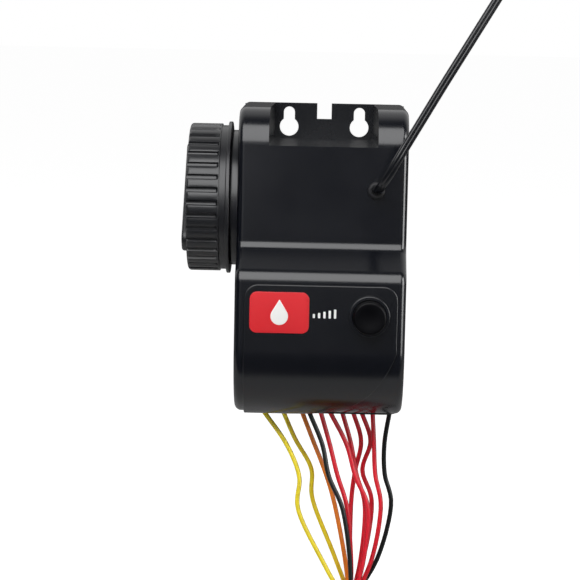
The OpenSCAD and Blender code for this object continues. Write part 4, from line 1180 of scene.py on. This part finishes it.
softbox("gloss_softbox", -12, 37, 1.3, 1.5, 1.25, 4.6, matt=False)
softbox("colour_softbox", -8, 42, 1.3, 1.3, 0.45, 8.9, gloss=False)
softbox("right_strip", 60, 5, 1.2, 0.6, 1.3, 9.0, matt=False)
softbox("left_card", -17, -6, 1.7, 0.85, 1.0, 0.72, matt=False)
softbox("right_card", 14, -6, 1.7, 0.6, 1.0, 0.36, matt=False)
print(len(bpy.data.lights), "lamps")

# %% [markdown]
# The floor and the world use the same few nodes: a smooth step from one value to another,
# one operation of arithmetic, and a mix of two values. Each is a call here, so that the two
# trees below read as what they do.

# %% Small node helpers
def empty_tree(owner):
    """Clears a node tree, and gives what adds a node to it and what links two sockets."""
    owner.use_nodes = True
    owner.node_tree.nodes.clear()
    return owner.node_tree.nodes.new, owner.node_tree.links.new


def feed(link, source, socket):
    """Puts a number or a colour into a socket, or links another socket to it."""
    if isinstance(source, bpy.types.NodeSocket):
        link(source, socket)
    else:
        socket.default_value = source


def stepped(add, link, value, start, stop, before, after):
    """before up to start, after from stop on, and a smooth step between them."""
    node = add("ShaderNodeMapRange")
    node.interpolation_type = "SMOOTHSTEP"
    for label, source in (("Value", value), ("From Min", start), ("From Max", stop),
                          ("To Min", before), ("To Max", after)):
        feed(link, source, node.inputs[label])
    return node.outputs["Result"]


def worked_out(add, link, operation, first, second):
    """One operation of arithmetic on two values."""
    node = add("ShaderNodeMath")
    node.operation = operation
    feed(link, first, node.inputs[0])
    feed(link, second, node.inputs[1])
    return node.outputs["Value"]


def mixed(add, link, kind, amount, first, second):
    """first where amount is 0, second where it is 1; kind is FLOAT or RGBA."""
    node = add("ShaderNodeMix")
    node.data_type = kind
    for label, source in (("Factor", amount), ("A", first), ("B", second)):
        feed(link, source, node.inputs[label])
    return node.outputs["Result"]


# %% [markdown]
# The floor lies just under the hank. It is pale paint that takes the object's shadow, with
# a glow added for camera rays only, so that it looks white and throws no more light up. In
# the gloss its part on the camera's side is dark, or the flat black fronts would mirror it.

# %% Floor
FLOOR_REACH, FLOOR_GAP, FLOOR_GLOW = 30, 0.002, 0.9
FLOOR_PALE, FLOOR_DARK = (0.85, 0.85, 0.85, 1), (0.08, 0.085, 0.1, 1)
DARK_UP_TO_Y, PALE_FROM_Y = -0.26, -0.21
floor_z = cad_low[2] - FLOOR_GAP
floor_mesh = bpy.data.meshes.new("studio_floor")
floor_mesh.from_pydata([(x * FLOOR_REACH, y * FLOOR_REACH, floor_z)
                        for x, y in ((-1, -1), (1, -1), (1, 1), (-1, 1))], [], [(0, 1, 2, 3)])
floor = bpy.data.objects.new("studio_floor", floor_mesh)
bpy.context.scene.collection.objects.link(floor)
print("floor at", round(floor_z / MM, 1), "mm")

floor_paint = bpy.data.materials.new("floor_paint")
add, link = empty_tree(floor_paint)
ray, place, split = (add("ShaderNode" + kind) for kind in ("LightPath", "TexCoord", "SeparateXYZ"))
link(place.outputs["Object"], split.inputs[0])
in_front = stepped(add, link, split.outputs["Y"], DARK_UP_TO_Y, PALE_FROM_Y, 1.0, 0.0)
mirrored_dark = worked_out(add, link, "MULTIPLY", in_front, ray.outputs["Is Glossy Ray"])
glow_level = worked_out(add, link, "MULTIPLY", ray.outputs["Is Camera Ray"], FLOOR_GLOW)
paint, glow, both, out = (add("ShaderNode" + kind) for kind in (
    "BsdfDiffuse", "Emission", "AddShader", "OutputMaterial"))
link(mixed(add, link, "RGBA", mirrored_dark, FLOOR_PALE, FLOOR_DARK), paint.inputs["Color"])
link(glow_level, glow.inputs["Strength"])
link(paint.outputs["BSDF"], both.inputs[0])
link(glow.outputs["Emission"], both.inputs[1])
link(both.outputs["Shader"], out.inputs["Surface"])
floor_mesh.materials.append(floor_paint)

# %% [markdown]
# The world is white where the camera sees it, and only a little light for colours. Gloss
# and clear things see it as a room: dim on the camera's side, white at the back, which
# gives the edges their rim, and dim again straight behind. Without that last part, the tops
# and the floor of the recess would mirror the white, and melt into it.

# %% World
WORLD_DIM, WORLD_WHITE = 0.1, 1.0
BRIGHTER_FROM, WHITE_FROM = -0.2, 0.35
DIMMER_FROM, DIM_FROM = 0.88, 0.97
world = bpy.data.worlds.new("studio_world")
bpy.context.scene.world = world
add, link = empty_tree(world)
ray, place, split = (add("ShaderNode" + kind) for kind in ("LightPath", "TexCoord", "SeparateXYZ"))
link(place.outputs["Generated"], split.inputs[0])
towards_back = split.outputs["Y"]
back = stepped(add, link, towards_back, BRIGHTER_FROM, WHITE_FROM, WORLD_DIM, WORLD_WHITE)
straight = stepped(add, link, towards_back, DIMMER_FROM, DIM_FROM, WORLD_WHITE, WORLD_DIM)
room = worked_out(add, link, "MULTIPLY", back, straight)
mirrored = worked_out(add, link, "MAXIMUM", ray.outputs["Is Glossy Ray"],
                      ray.outputs["Is Transmission Ray"])
level = mixed(add, link, "FLOAT", mirrored, WORLD_DIM, room)
level = mixed(add, link, "FLOAT", ray.outputs["Is Camera Ray"], level, WORLD_WHITE)
sky, out = add("ShaderNodeBackground"), add("ShaderNodeOutputWorld")
sky.inputs["Color"].default_value = (1, 1, 1, 1)
link(level, sky.inputs["Strength"])
link(sky.outputs["Background"], out.inputs["Surface"])
bpy.context.scene.view_settings.view_transform = "Standard"
